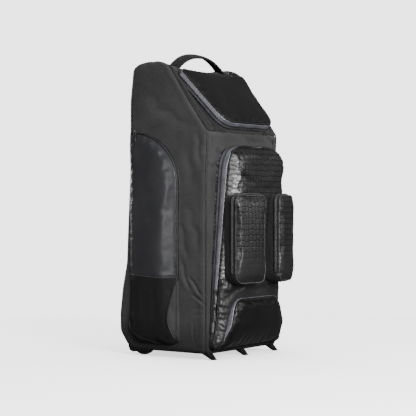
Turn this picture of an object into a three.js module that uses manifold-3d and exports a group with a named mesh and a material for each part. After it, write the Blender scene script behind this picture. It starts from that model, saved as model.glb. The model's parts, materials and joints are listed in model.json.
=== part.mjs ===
// A wheeled cricket kit bag that stands upright on two wheels and three feet.
// Its body is sewn from padded panels round one tall hollow. A padded lid closes the slanted
// mouth at the top. Open-backed pouches are sewn on both sides and on the front.
// Millimetres, +Z up, the front faces -Y. Every cloth piece is a thin wall, hollow where the bag is.
import * as THREE from "three";
import { mergeVertices } from "three/addons/utils/BufferGeometryUtils.js";
import Module from "manifold-3d";

const wasm = await Module();
wasm.setup();

// Driving dimensions of the body
const bagHeight = 910; // floor to the top of the side panels
const bagWidth = 390;
const bagDepth = 314; // front panel to back panel at mid height
const baseClear = 20; // floor to the underside of the body
const panelWall = 3;
const seamGap = 0.3; // running gap between two sewn pieces
const frontCornerRadius = 12;
const backCornerRadius = 34;
const sideCrown = 9; // how far a full side panel bows out
const backCrown = 8;
const topSag = 16; // how far the top panel hangs between the side panels
const edgeStrip = 18; // width of the strip that a side panel turns round the corner
const bindingRadius = 3;

// The slanted mouth, its collar, zip and lid
const mouthRise = 690; // floor to the foot of the slanted face
const hingeRise = 892; // floor to the lid's hinge seam
const hingeSet = 135; // front panel back to the hinge seam
const lidFootWidth = 304;
const lidHeadWidth = 330;
const lidLength = 222;
const lidFootSet = 3; // lid's front edge up the slope from its foot
const lidCornerRadius = 46;
const lidHeadRadius = 18;
const lidSkirt = 15;
const lidCrown = 7;
const lidWall = 3;
const collarFoot = 24; // collar's height at the front
const collarHead = 3; // and at the hinge
const mouthBorder = 20; // collar's outer face in to the edge of the mouth
const mouthHeadRadius = 12;
const zipTape = 9;
const zipThickness = 1.6;

// The carry handle on the top
const handleSpan = 258;
const handleArch = 42;
const handleWidth = 34;
const handleThickness = 4;
const handleSet = 170; // front panel back to the handle's middle
const handleTilt = 0.2; // the strap leans forward, in radians

// The side pockets
const sidePocketRise = 40; // floor to the pocket's lower edge
const sidePocketTop = 694;
const sidePocketFront = 92; // bag's front panel back to the pocket's front edge
const sidePocketBack = 26; // pocket's back edge in from the back panel
const sidePocketDepth = 24;
const sidePocketCrown = 10;
const sidePocketEdge = 12;
const sidePullSet = 26; // pocket's back edge to the slider at the end of its zip
const pocketWall = 2.4;

const sideSeamRise = 248; // floor to the seam across a side pocket

// Zip sliders and their pulls
const sliderLength = 12;
const sliderWidth = 8;
const sliderThickness = 5;
const pullLength = 42;
const pullWidth = 7;
const pullThickness = 2.4;

// The front pocket and what is sewn on it
const frontPocketRise = 30;
const frontPocketTop = 645;
const frontPocketWidth = 276; // at its top
const frontPocketFlare = 92; // how much wider it is at the foot
const frontPocketShoulder = 84; // corner radius at its top
const frontPocketHem = 16; // corner radius at its foot
const frontPocketDepth = 84;
const frontPocketFootShare = 0.36; // its depth at the foot, as a share of its depth
const frontPocketCrown = 10;
const frontPocketEdge = 20;

const frontSliderRises = [214, 162];

const lowPocketRise = 34;
const lowPocketTop = 182;
const lowPocketWidth = 326;
const lowPocketTopShare = 0.72; // width at its top, as a share of its width
const lowPocketDepth = 62; // from the front panel
const lowPocketCrown = 4;
const lowPocketEdge = 8;
const lowPocketFootShare = 0.6; // its depth at the foot, as a share of its depth

const podWidth = 132;
const podHeight = 272;
const podRise = 228;
const podDepth = 30;
const podCrown = 5;
const podTuck = 24; // how far its walls reach back past the plane it is sewn in
const podRadius = 34;
const podEdge = 9;
const podSpread = 94; // middle of the bag to the middle of a pod
const podStand = 73; // front panel to the plane a pod is sewn in
const podSplay = THREE.MathUtils.degToRad(13);

// Feet, wheels and the moulded housings
const footHeel = 24; // foot's depth where it is fixed
const footToe = 9;
const footWidth = 28;
const footTipWidth = 18;
const footReach = 34; // how far a toe stands in front of its heel
const footSpread = 172; // middle of the bag to an outer foot
const wheelRadius = 38;
const wheelWidth = 24;
const wheelSet = 56; // back panel in to the wheel's axle
const wheelSpread = 162;
const wheelClear = 4;
const axleRadius = 4.4;
const axleClear = 0.4;
const housingWall = 5;
const guardClear = 9; // floor to the guard behind a wheel

const frontFace = -bagDepth / 2;
const backFace = bagDepth / 2;
const halfWidth = bagWidth / 2;
const bodySpan = bagHeight - baseClear;
const slope = Math.atan2(hingeRise - mouthRise, hingeSet);
const slantLength = Math.hypot(hingeRise - mouthRise, hingeSet);

// Body sections from the foot up. rise is a share of the height above the base, back is a share of
// the depth added behind the back panel, half is a share of the half width, and hinge is a share of
// the way from the front panel back to the hinge seam.
const bodySections = [
  { rise: 0.0, back: -0.05, half: 0.98, hinge: 0 },
  { rise: 0.012, back: -0.012, half: 1.0, hinge: 0 },
  { rise: 0.06, back: 0.085, half: 1.0, hinge: 0 },
  { rise: 0.12, back: 0.088, half: 1.0, hinge: 0 },
  { rise: 0.21, back: 0.058, half: 1.0, hinge: 0 },
  { rise: 0.3, back: 0.005, half: 1.0, hinge: 0 },
  { rise: 0.42, back: -0.01, half: 1.0, hinge: 0 },
  { rise: 0.6, back: -0.035, half: 1.0, hinge: 0 },
  { rise: (mouthRise - baseClear) / bodySpan, back: -0.04, half: 1.0, hinge: -0.05 },
  { rise: (mouthRise + hingeRise - 2 * baseClear) / 2 / bodySpan, back: -0.04, half: 1.0, hinge: 0.5 },
  { rise: (hingeRise - baseClear) / bodySpan, back: -0.075, half: 0.995, hinge: 1.0 },
  { rise: 0.989, back: -0.12, half: 0.99, hinge: 1.11 },
  { rise: 0.996, back: -0.2, half: 0.98, hinge: 1.23 },
  { rise: 1.0, back: -0.3, half: 0.96, hinge: 1.36 },
];

const materials = {
  cloth: new THREE.MeshStandardMaterial({ color: 0x3a3b3c, roughness: 0.9, metalness: 0 }),
  coated: new THREE.MeshStandardMaterial({ color: 0x2d2f33, roughness: 0.5, metalness: 0 }),
  embossed: new THREE.MeshStandardMaterial({ color: 0x1c1d1e, roughness: 0.35, metalness: 0 }),
  lidCloth: new THREE.MeshStandardMaterial({ color: 0x1a1b1c, roughness: 0.6, metalness: 0 }),
  zip: new THREE.MeshStandardMaterial({ color: 0x30343a, roughness: 0.4, metalness: 0 }),
  metal: new THREE.MeshStandardMaterial({ color: 0x2a2a2c, roughness: 0.35, metalness: 0.8 }),
  webbing: new THREE.MeshStandardMaterial({ color: 0x161718, roughness: 0.85, metalness: 0 }),
  plastic: new THREE.MeshStandardMaterial({ color: 0x0d0d0e, roughness: 0.55, metalness: 0 }),
  tyre: new THREE.MeshStandardMaterial({ color: 0x111112, roughness: 0.8, metalness: 0 }),
};

const bag = new THREE.Group();

// Two triangles over four points, split on the shorter diagonal so that both sides match.
function quad(points, a, b, c, d) {
  const split = points[a].distanceTo(points[c]) <= points[b].distanceTo(points[d]) + 1e-6;
  return split ? [a, b, c, a, c, d] : [a, b, d, b, c, d];
}

// A closed surface through rings with the same number of points, with a fan over each end.
// Where seam is given, strips close the last ring instead: they run across it, from the points
// before seam to the points after it.
function loftGeometry(rings, seam) {
  const count = rings[0].length;
  const points = rings.flat();
  const faces = [];
  for (let k = 0; k + 1 < rings.length; k++)
    for (let i = 0; i < count; i++) {
      const j = (i + 1) % count;
      const [near, next] = [k * count, (k + 1) * count];
      faces.push(...quad(points, near + i, near + j, next + j, next + i));
    }
  const middle = (ring) =>
    ring.reduce((sum, p) => sum.add(p), new THREE.Vector3()).divideScalar(count);
  const fan = (ring, start, turn) => {
    const top = points.push(middle(ring)) - 1;
    for (let i = 0; i < count; i++) {
      const j = (i + 1) % count;
      faces.push(top, start + (turn ? j : i), start + (turn ? i : j));
    }
  };
  const last = (rings.length - 1) * count;
  fan(rings[0], 0, true);
  if (seam === undefined) {
    fan(rings.at(-1), last, false);
    return geometryOf(points, faces);
  }
  const before = (k) => last + ((seam - k + count) % count);
  const after = (k) => last + ((seam + 1 + k) % count);
  for (let k = 0; k + 1 < count / 2; k++)
    faces.push(...quad(points, after(k), after(k + 1), before(k + 1), before(k)));
  return geometryOf(points, faces);
}

// A ring-shaped belt: one closed section, four or more points, carried round a closed path.
function beltGeometry(sections) {
  const count = sections[0].length;
  const points = sections.flat();
  const faces = [];
  for (let k = 0; k < sections.length; k++)
    for (let i = 0; i < count; i++) {
      const next = ((k + 1) % sections.length) * count;
      const j = (i + 1) % count;
      faces.push(...quad(points, k * count + i, k * count + j, next + j, next + i));
    }
  return geometryOf(points, faces);
}

function geometryOf(points, faces) {
  const geometry = new THREE.BufferGeometry();
  geometry.setAttribute(
    "position",
    new THREE.Float32BufferAttribute(
      points.flatMap((p) => [p.x, p.y, p.z]),
      3,
    ),
  );
  geometry.setIndex(faces);
  return geometry;
}

// A three.js geometry as a manifold-3d solid, turned to face out.
function solidOf(geometry) {
  const bare = new THREE.BufferGeometry();
  bare.setAttribute("position", geometry.getAttribute("position"));
  if (geometry.index) bare.setIndex(geometry.index);
  const merged = mergeVertices(bare, 1e-4);
  const triVerts = new Uint32Array(merged.index.array);
  const vertProperties = new Float32Array(merged.getAttribute("position").array);
  const build = () => new wasm.Manifold(new wasm.Mesh({ numProp: 3, vertProperties, triVerts }));
  const made = build();
  if (made.volume() > 0) return made;
  for (let i = 0; i < triVerts.length; i += 3)
    [triVerts[i + 1], triVerts[i + 2]] = [triVerts[i + 2], triVerts[i + 1]];
  return build();
}

function geometryFrom(solid) {
  const mesh = solid.getMesh();
  const points = new Float32Array(mesh.numVert * 3);
  for (let i = 0; i < mesh.numVert; i++)
    points.set(mesh.vertProperties.subarray(i * mesh.numProp, i * mesh.numProp + 3), i * 3);
  const geometry = new THREE.BufferGeometry();
  geometry.setAttribute("position", new THREE.BufferAttribute(points, 3));
  geometry.setIndex(new THREE.BufferAttribute(new Uint32Array(mesh.triVerts), 1));
  return geometry;
}

// The largest body of a solid: a cut through a thin wall can leave crumbs.
function mainBody(solid) {
  return solid.decompose().reduce((a, b) => (a.volume() > b.volume() ? a : b));
}

function add(name, solid, material, mirrored = false) {
  const mesh = new THREE.Mesh(geometryFrom(mainBody(solid)), materials[material]);
  mesh.name = name;
  if (mirrored) mesh.scale.x = -1;
  bag.add(mesh);
}

// Left and right copies of a piece that is modelled on the bag's left, at -X.
function addPair(name, solid, material) {
  add(`${name}_left`, solid, material);
  add(`${name}_right`, solid, material, true);
}

function boxSolid(low, high) {
  const size = new THREE.Vector3().subVectors(high, low);
  const geometry = new THREE.BoxGeometry(size.x, size.y, size.z);
  geometry.translate(low.x + size.x / 2, low.y + size.y / 2, low.z + size.z / 2);
  return solidOf(geometry);
}

const far = 2000; // past every face of the bag
const vector = (x, y, z) => new THREE.Vector3(x, y, z);

// Body

const cornerSteps = 3;
const edgeSteps = 5;

// Points round the body, from the front right corner by the right side to the back.
function roundedOutline({ half, front, back, frontRadius, backRadius, bow, backBow }) {
  const points = [];
  const corner = (x, y, radius, from) => {
    for (let i = 0; i <= cornerSteps; i++) {
      const angle = from + ((i / cornerSteps) * Math.PI) / 2;
      points.push([x + radius * Math.cos(angle), y + radius * Math.sin(angle)]);
    }
  };
  const edge = (x0, y0, x1, y1, outX, outY) => {
    for (let i = 1; i < edgeSteps; i++) {
      const u = i / edgeSteps;
      const swell = 4 * u * (1 - u);
      points.push([x0 + (x1 - x0) * u + outX * swell, y0 + (y1 - y0) * u + outY * swell]);
    }
  };
  const [f, b] = [frontRadius, backRadius];
  corner(half - f, front + f, f, -Math.PI / 2);
  edge(half, front + f, half, back - b, bow, 0);
  corner(half - b, back - b, b, 0);
  edge(half - b, back, -half + b, back, 0, backBow);
  corner(-half + b, back - b, b, Math.PI / 2);
  edge(-half, back - b, -half, front + f, -bow, 0);
  corner(-half + f, front + f, f, Math.PI);
  edge(-half + f, front, half - f, front, 0, 0);
  return points;
}

// The top panel hangs between the side panels.
function settle(point) {
  const reach = THREE.MathUtils.smoothstep(point.z, mouthRise, hingeRise);
  const across = Math.min(1, Math.abs(point.x) / halfWidth);
  point.z -= topSag * reach * (1 - across ** 2);
  return point;
}

// The body's outer surface, taken in by inset.
function bodySolid(inset) {
  const rings = bodySections.map((section, k) => {
    const end = k === 0 ? inset : k >= bodySections.length - 3 ? -inset : 0;
    const z = baseClear + section.rise * bodySpan + end;
    const swell = Math.sin(Math.PI * Math.min(1, section.rise)) ** 0.5;
    return roundedOutline({
      half: halfWidth * section.half - inset,
      front: frontFace + section.hinge * hingeSet + inset,
      back: backFace + section.back * bagDepth - inset,
      frontRadius: Math.max(1, frontCornerRadius - inset),
      backRadius: Math.max(1, backCornerRadius - inset),
      bow: sideCrown * swell,
      backBow: backCrown * swell,
    }).map(([x, y]) => settle(vector(x, y, z)));
  });
  // Strips from front to back close the top, so that it sags evenly.
  return solidOf(loftGeometry(rings, cornerSteps + Math.floor(edgeSteps / 2)));
}

const bodyOuter = bodySolid(0);
const bodyInner = bodySolid(panelWall);
const bodyClear = bodySolid(-seamGap); // what every piece sewn on the body stays clear of

// Outlines in a plane, as [u, v] points, anticlockwise

function arc(points, u, v, radius, from, to, steps) {
  for (let i = 0; i <= steps; i++) {
    const angle = THREE.MathUtils.degToRad(from + ((to - from) * i) / steps);
    points.push([u + radius * Math.cos(angle), v + radius * Math.sin(angle)]);
  }
}

// A four-sided outline with a foot and head width and a radius at each end, its edges in steps.
function panelOutline(foot, head, low, high, footRadius, headRadius, steps = 3) {
  const corners = [];
  arc(corners, head / 2 - headRadius, high - headRadius, headRadius, 0, 90, steps);
  arc(corners, -head / 2 + headRadius, high - headRadius, headRadius, 90, 180, steps);
  arc(corners, -foot / 2 + footRadius, low + footRadius, footRadius, 180, 270, steps);
  arc(corners, foot / 2 - footRadius, low + footRadius, footRadius, 270, 360, steps);
  return corners;
}

// Points are added on long edges, so that a surface over them can bend.
function divided(outline, longest) {
  return outline.flatMap(([u, v], i) => {
    const [un, vn] = outline[(i + 1) % outline.length];
    const parts = Math.max(1, Math.ceil(Math.hypot(un - u, vn - v) / longest));
    return Array.from({ length: parts }, (_, k) => [
      u + ((un - u) * k) / parts,
      v + ((vn - v) * k) / parts,
    ]);
  });
}

// Every point moved out along the bisector of its two edges, or in where distance is negative.
function offset(outline, distance) {
  const count = outline.length;
  return outline.map(([u, v], i) => {
    const [up, vp] = outline[(i + count - 1) % count];
    const [un, vn] = outline[(i + 1) % count];
    const a = new THREE.Vector2(v - vp, up - u).normalize();
    const b = new THREE.Vector2(vn - v, u - un).normalize();
    const out = a.clone().add(b).normalize();
    const reach = distance / Math.max(0.5, out.dot(a));
    return [u + out.x * reach, v + out.y * reach];
  });
}

// A plane to sew on: origin, directions u and v in it, and n out of it.
function plane(origin, u, v) {
  return { origin, u, v, n: new THREE.Vector3().crossVectors(u, v) };
}

function place(frame, u, v, height) {
  return frame.origin
    .clone()
    .addScaledVector(frame.u, u)
    .addScaledVector(frame.v, v)
    .addScaledVector(frame.n, height);
}

const full = () => 1;

// A raised form over an outline: straight sides, a rounded edge and a crowned face.
function raised(frame, outline, { foot, depth, edge, crown, scale = full }) {
  const edgeSteps = 2;
  const faceRings = [0.6, 0.2];
  const lift = (points, height) =>
    points.map(([u, v]) => place(frame, u, v, height * (height > 0 ? scale(u, v) : 1)));
  const rings = [lift(outline, foot), lift(outline, depth - edge)];
  for (let i = 1; i <= edgeSteps; i++) {
    const angle = ((i / edgeSteps) * Math.PI) / 2;
    const ring = offset(outline, -edge * (1 - Math.cos(angle)));
    rings.push(lift(ring, depth - edge + edge * Math.sin(angle)));
  }
  const face = offset(outline, -edge);
  const middle = [0, 1].map((k) => face.reduce((sum, p) => sum + p[k], 0) / face.length);
  for (const share of faceRings) {
    const ring = face.map(([u, v]) => [
      middle[0] + (u - middle[0]) * share,
      middle[1] + (v - middle[1]) * share,
    ]);
    rings.push(lift(ring, depth + crown * (1 - share ** 2)));
  }
  return solidOf(loftGeometry(rings));
}

// The same form as a thin wall, open at its back unless a back wall is given.
function pouch(frame, outline, size, wall, back = -1) {
  const inner = raised(frame, offset(outline, -wall), {
    ...size,
    foot: size.foot + back,
    depth: size.depth - wall,
    edge: Math.max(2, size.edge - wall),
  });
  return raised(frame, outline, size).subtract(inner);
}

// A belt round an outline, from one offset to another and from one height to another.
function belt(frame, outline, near, away, low, high, scale = full) {
  const [inner, outer] = [offset(outline, near), offset(outline, away)];
  const sections = outline.map((_, i) => {
    const at = ([u, v], height) => place(frame, u, v, height * scale(u, v));
    return [at(inner[i], low), at(outer[i], low), at(outer[i], high), at(inner[i], high)];
  });
  return solidOf(beltGeometry(sections));
}

// Sewn panels of the body

const lidPlane = plane(
  vector(0, frontFace, mouthRise),
  vector(1, 0, 0),
  vector(0, Math.cos(slope), Math.sin(slope)),
);
// The lid's outline on the slanted face, taken in by inset.
function lidShape(inset, headRadius) {
  const outline = panelOutline(
    lidFootWidth - 2 * inset,
    lidHeadWidth - 2 * inset,
    lidFootSet + inset,
    lidFootSet + lidLength - inset,
    lidCornerRadius - inset,
    headRadius,
  );
  return divided(outline, 70);
}

const lidOutline = lidShape(0, lidHeadRadius);

function mouthSolid() {
  return raised(lidPlane, lidShape(mouthBorder, mouthHeadRadius), {
    foot: -5 * panelWall - topSag,
    depth: collarFoot,
    edge: 1,
    crown: 0,
  });
}

// The shell is cut into panels by planes a seam gap apart.
function bodyPanels() {
  const shell = bodyOuter.subtract(bodyInner).subtract(mouthSolid()).subtract(housingSpace());
  const stripX = halfWidth - edgeStrip;
  const insideX = stripX - seamGap;
  const floorZ = baseClear + edgeStrip;
  const backY = backFace - 3 * backCornerRadius;
  const cut = (low, high) => shell.intersect(boxSolid(low, high));
  addPair("side_panel", cut(vector(-far, -far, 0), vector(-stripX, far, far)), "cloth");
  add("base_panel", cut(vector(-insideX, -far, 0), vector(insideX, far, floorZ)), "coated");
  add(
    "front_panel",
    cut(
      vector(-insideX, -far, floorZ + seamGap),
      vector(insideX, backY - seamGap, mouthRise),
    ),
    "cloth",
  );
  add(
    "top_panel",
    cut(vector(-insideX, -far, mouthRise + seamGap), vector(insideX, backY - seamGap, far)),
    "cloth",
  );
  add(
    "back_panel",
    cut(vector(-insideX, backY, floorZ + seamGap), vector(insideX, far, far)),
    "cloth",
  );
}

// A round cord sewn into the front corner seam of each side, from the base to the hinge.
function cornerBinding() {
  const inCorner = frontCornerRadius * (1 - Math.SQRT1_2);
  const out = (bindingRadius + 2 * seamGap) * Math.SQRT1_2;
  const x = -halfWidth + inCorner - out;
  const lean = Math.hypot(1, 1 / Math.tan(slope));
  const points = [
    vector(x, frontFace + inCorner - out, baseClear + 2 * edgeStrip),
    vector(x, frontFace + inCorner - out, mouthRise - frontCornerRadius),
    vector(x, frontFace + inCorner - out * lean + 2 * seamGap, mouthRise + 2 * frontCornerRadius),
  ];
  const rise = hingeRise - 2 * frontCornerRadius;
  points[2].y += (2 * frontCornerRadius) / Math.tan(slope);
  points.push(
    vector(x, points[2].y + (rise - points[2].z) / Math.tan(slope), rise),
  );
  return sweptCord(points, bindingRadius).subtract(bodyClear);
}

// A round cord through points in a plane of constant x, mitred at each bend.
function sweptCord(points, radius) {
  const sides = 8;
  const rings = points.map((point, i) => {
    const before = points[Math.max(0, i - 1)];
    const after = points[Math.min(points.length - 1, i + 1)];
    const a = new THREE.Vector3().subVectors(i ? point : after, i ? before : point).normalize();
    const b = new THREE.Vector3()
      .subVectors(i < points.length - 1 ? after : point, i < points.length - 1 ? point : before)
      .normalize();
    const along = a.clone().add(b).normalize();
    const across = new THREE.Vector3().crossVectors(along, vector(1, 0, 0)).normalize();
    const stretch = 1 / Math.max(0.5, along.dot(a));
    return Array.from({ length: sides }, (_, k) => {
      const angle = (k / sides) * 2 * Math.PI;
      return point
        .clone()
        .addScaledVector(vector(1, 0, 0), radius * Math.cos(angle))
        .addScaledVector(across, radius * Math.sin(angle) * stretch);
    });
  });
  return solidOf(loftGeometry(rings));
}

// Lid, collar and zip

// The collar stands taller at the front, so that the lid is flatter than the slanted face.
const collarHeight = (v) =>
  THREE.MathUtils.mapLinear(v, lidFootSet, lidFootSet + lidLength, collarFoot, collarHead);

const lidRise = Math.atan2(collarFoot - collarHead, lidLength);
const lidTop = plane(
  place(lidPlane, 0, lidFootSet, collarFoot + seamGap),
  vector(1, 0, 0),
  vector(0, Math.cos(slope - lidRise), Math.sin(slope - lidRise)),
);
const lidOwnOutline = lidOutline.map(([u, v]) => [u, (v - lidFootSet) / Math.cos(lidRise)]);

function lid() {
  const collarSize = { foot: -topSag - 2 * panelWall, depth: 1, edge: 0.5, crown: 0 };
  const block = raised(lidTop, lidOwnOutline, {
    ...collarSize,
    foot: -3 * collarFoot,
    depth: -seamGap,
    edge: 0.1,
  });
  const core = raised(lidTop, offset(lidOwnOutline, -2 * lidWall), {
    foot: -4 * collarFoot,
    depth: 1,
    edge: 0.1,
    crown: 0,
  });
  add("lid_collar", block.subtract(core).subtract(bodyClear), "cloth");
  const size = { foot: 0, depth: lidSkirt, edge: 6, crown: lidCrown };
  const tray = pouch(lidTop, lidOwnOutline, { ...size, foot: 0 }, lidWall);
  add("lid", tray.subtract(bodyClear), "lidCloth");
  const hinge = lidOutlineHead();
  const band = belt(
    lidTop,
    lidOwnOutline,
    seamGap,
    seamGap + zipThickness,
    1,
    zipTape,
  ).subtract(
    boxSolid(vector(-far, hinge.y - 3 * zipTape, hinge.z - 3 * zipTape), vector(far, far, far)),
  );
  add("lid_zip", band.subtract(bodyClear), "zip");
}

// The middle of the lid's hinge edge.
function lidOutlineHead() {
  return place(lidTop, 0, lidLength / Math.cos(lidRise), 0);
}

// Carry handle

// The middle of the strap: an arch that is upright enough at both ends to be sewn into the top.
function handle() {
  const steps = 16;
  const sunk = 8; // how far the ends go into the seam, cut back by the body
  const rootZ = bagHeight - topSag;
  const y = frontFace + handleSet;
  const wide = vector(0, -Math.cos(handleTilt), -Math.sin(handleTilt));
  const rings = Array.from({ length: steps + 1 }, (_, i) => {
    const u = (2 * i) / steps - 1;
    const arch = (share) => handleArch * (1 - Math.abs(share) ** 2.4);
    const point = vector((u * handleSpan) / 2, y, rootZ + arch(u) - (Math.abs(u) === 1 ? sunk : 0));
    const step = 0.01;
    const [before, after] = [Math.max(-1, u - step), Math.min(1, u + step)];
    const along = vector(
      ((after - before) * handleSpan) / 2,
      0,
      arch(after) - arch(before),
    ).normalize();
    const up = new THREE.Vector3().crossVectors(along, wide).normalize();
    return [
      [-1, -1],
      [1, -1],
      [1, 1],
      [-1, 1],
    ].map(([a, b]) =>
      point
        .clone()
        .addScaledVector(wide, (a * handleWidth) / 2)
        .addScaledVector(up, (b * handleThickness) / 2),
    );
  });
  add("carry_handle", solidOf(loftGeometry(rings)).subtract(bodyClear), "webbing");
}

// Side pockets

// The pocket's outline is in (u, v): u runs forward, and v is the rise. Its top falls to the
// front along a quarter ellipse.
const sidePocketBackEdge = -(backFace - sidePocketBack);
const sidePocketFrontEdge = -(frontFace + sidePocketFront);
const sidePocketSweep = sidePocketFrontEdge - sidePocketBackEdge;
const shoulder = 0.97 * sidePocketSweep;
const drop = 0.8 * sidePocketSweep;

function sideTopAt(u) {
  const across = (u - (sidePocketFrontEdge - shoulder)) / shoulder;
  return sidePocketTop - drop * (1 - Math.sqrt(1 - THREE.MathUtils.clamp(across, 0, 1) ** 2));
}

function sidePocketOutline() {
  const [back, front] = [sidePocketBackEdge, sidePocketFrontEdge];
  const points = [];
  const footRadius = 30;
  arc(points, front - footRadius, sidePocketRise + footRadius, footRadius, -90, 0, 3);
  for (let i = 0; i <= 9; i++) {
    const angle = ((i / 9) * Math.PI) / 2;
    points.push([
      front - shoulder + shoulder * Math.cos(angle),
      sidePocketTop - drop + drop * Math.sin(angle),
    ]);
  }
  points.push([back, sidePocketTop]);
  points.push([back, 2 * sidePocketRise]);
  points.push([back + sidePocketRise, sidePocketRise]);
  return divided(points, 90);
}

const sidePlane = plane(vector(-halfWidth, 0, 0), vector(0, -1, 0), vector(0, 0, 1));

// The pocket is shallow along the bag's back and full at its front edge.
function sideScale(u) {
  const back = sidePocketBackEdge;
  return 0.42 + 0.58 * THREE.MathUtils.smoothstep(u, back, back + 2 * sidePocketFront);
}

// The coated panel and the plain cloth under it are two pieces, sewn together at the seam.
function sidePockets() {
  const outline = sidePocketOutline();
  const form = {
    foot: -3 * sideCrown,
    depth: sidePocketDepth,
    edge: sidePocketEdge,
    crown: sidePocketCrown,
    scale: sideScale,
  };
  const shell = pouch(sidePlane, outline, form, pocketWall).subtract(bodyClear);
  const above = boxSolid(vector(-far, -far, sideSeamRise + seamGap), vector(0, far, far));
  const below = boxSolid(vector(-far, -far, 0), vector(0, far, sideSeamRise));
  addPair("side_pocket", shell.intersect(above), "coated");
  addPair("side_pocket_foot", shell.intersect(below), "cloth");
  const low = sidePocketDepth - sidePocketEdge - zipTape;
  const near = seamGap + zipThickness;
  const zip = belt(sidePlane, outline, seamGap, near, low, low + zipTape, sideScale)
    .subtract(bodyClear)
    .subtract(boxSolid(vector(-far, -far, -far), vector(far, far, sideSeamRise)))
    .subtract(boxSolid(vector(-far, backFace - 2 * backCornerRadius, 0), vector(far, far, far)));
  addPair("side_zip", zip, "zip");
  const u = sidePocketBackEdge + sidePullSet;
  const size = vector(sliderWidth, sliderLength, sliderThickness);
  const top = sideTopAt(u) + near + 2 * seamGap + sliderThickness / 2;
  const out = (low + zipTape) * sideScale(u) - sliderWidth / 2;
  const pull = zipPull(place(sidePlane, u, top, out), size, sidePocketCrown);
  addPair("side_pull", pull.subtract(bodyClear), "metal");
}

// A slider on a zip, with its pull hanging down on the side that faces -X.
function zipPull(middle, size, standOff) {
  const half = size.clone().divideScalar(2);
  const face = middle.x - half.x;
  const slider = boxSolid(middle.clone().sub(half), middle.clone().add(half));
  const arm = boxSolid(
    vector(face - standOff - 1, middle.y - 1.5, middle.z - 1.5),
    vector(face + 1, middle.y + 1.5, middle.z + 1.5),
  );
  const tab = boxSolid(
    vector(face - standOff - pullThickness, middle.y - pullWidth / 2, middle.z + 3 - pullLength),
    vector(face - standOff, middle.y + pullWidth / 2, middle.z + 3),
  );
  return slider.add(arm).add(tab);
}

// Front pocket, lower pocket and pods

const frontPlane = plane(vector(0, frontFace, 0), vector(1, 0, 0), vector(0, 0, 1));
const frontOutline = divided(
  panelOutline(
    frontPocketWidth + frontPocketFlare,
    frontPocketWidth,
    frontPocketRise,
    frontPocketTop,
    frontPocketHem,
    frontPocketShoulder,
  ),
  100,
);
const frontScale = (u, v) =>
  THREE.MathUtils.mapLinear(
    Math.min(v, frontPocketTop),
    frontPocketRise,
    frontPocketTop,
    frontPocketFootShare,
    1,
  );
const frontSize = {
  foot: -2 * panelWall,
  depth: frontPocketDepth,
  edge: frontPocketEdge,
  crown: frontPocketCrown,
  scale: frontScale,
};

// The front pocket's outer form, grown by the seam gap: what is sewn on it stays clear of this.
const frontPocketClear = raised(frontPlane, offset(frontOutline, seamGap), {
  ...frontSize,
  depth: frontPocketDepth + seamGap,
  crown: frontPocketCrown + seamGap,
});

function frontPocket() {
  const shell = pouch(frontPlane, frontOutline, frontSize, pocketWall).subtract(bodyClear);
  add("front_pocket", shell, "embossed");
  const low = 16;
  const zip = belt(
    frontPlane,
    frontOutline,
    seamGap,
    seamGap + zipThickness,
    low,
    low + 1.6 * zipTape,
    frontScale,
  )
    .subtract(bodyClear)
    .subtract(boxSolid(vector(-far, -far, -far), vector(far, far, frontPocketRise + 50)));
  add("front_zip", zip, "zip");
  frontSliderRises.forEach((rise, i) => {
    const x = -frontEdgeAt(rise) - zipThickness - 3 * seamGap - sliderThickness / 2;
    const y = frontFace - (low + 0.8 * zipTape) * frontScale(0, rise);
    const size = vector(sliderThickness, sliderWidth, sliderLength);
    add(`front_pull_${i + 1}`, zipPull(vector(x, y, rise), size, 1), "metal");
  });
}

// Half the front pocket's width at a rise on its straight side.
function frontEdgeAt(rise) {
  const foot = frontPocketRise + frontPocketHem;
  const share = (rise - foot) / (frontPocketTop - frontPocketShoulder - foot);
  return (frontPocketWidth + frontPocketFlare * (1 - share)) / 2;
}

const lowOutline = divided(
  panelOutline(
    lowPocketWidth,
    lowPocketWidth * lowPocketTopShare,
    lowPocketRise,
    lowPocketTop,
    14,
    46,
  ),
  90,
);

function lowPocket() {
  const scale = (u, v) =>
    THREE.MathUtils.mapLinear(
      THREE.MathUtils.smoothstep(v, lowPocketRise, (lowPocketRise + lowPocketTop) / 2),
      0,
      1,
      lowPocketFootShare,
      1,
    );
  const size = {
    foot: 2,
    depth: lowPocketDepth,
    edge: lowPocketEdge,
    crown: lowPocketCrown,
    scale,
  };
  const shell = pouch(frontPlane, lowOutline, size, pocketWall).subtract(frontPocketClear);
  add("lower_pocket", shell, "embossed");
  const high = lowPocketDepth - lowPocketEdge;
  const zip = belt(
    frontPlane,
    lowOutline,
    seamGap,
    seamGap + zipThickness,
    high - zipTape,
    high,
    scale,
  )
    .subtract(frontPocketClear)
    .subtract(boxSolid(vector(-far, -far, -far), vector(far, far, lowPocketRise + 30)));
  add("lower_zip", zip, "zip");
}

function pods() {
  const rise = podRise + podHeight / 2;
  const outline = divided(
    panelOutline(podWidth, podWidth, -podHeight / 2, podHeight / 2, podRadius, podRadius),
    100,
  );
  const along = vector(Math.cos(podSplay), -Math.sin(podSplay), 0);
  const frame = plane(vector(-podSpread, frontFace - podStand, rise), along, vector(0, 0, 1));
  // Where a pod hangs past the pocket's shoulder it keeps its own back.
  const size = { foot: -podTuck, depth: podDepth, edge: podEdge, crown: podCrown };
  const shell = pouch(frame, outline, size, pocketWall, pocketWall).subtract(frontPocketClear);
  addPair("pod", shell, "embossed");
  const low = podDepth / 3;
  const zip = belt(frame, outline, seamGap, seamGap + zipThickness, low, low + 0.8 * zipTape)
    .subtract(frontPocketClear)
    .subtract(boxSolid(vector(-far, -far, -far), vector(far, far, podRise + podRadius)));
  addPair("pod_zip", zip, "zip");
}

// Feet, wheels and housings

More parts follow.
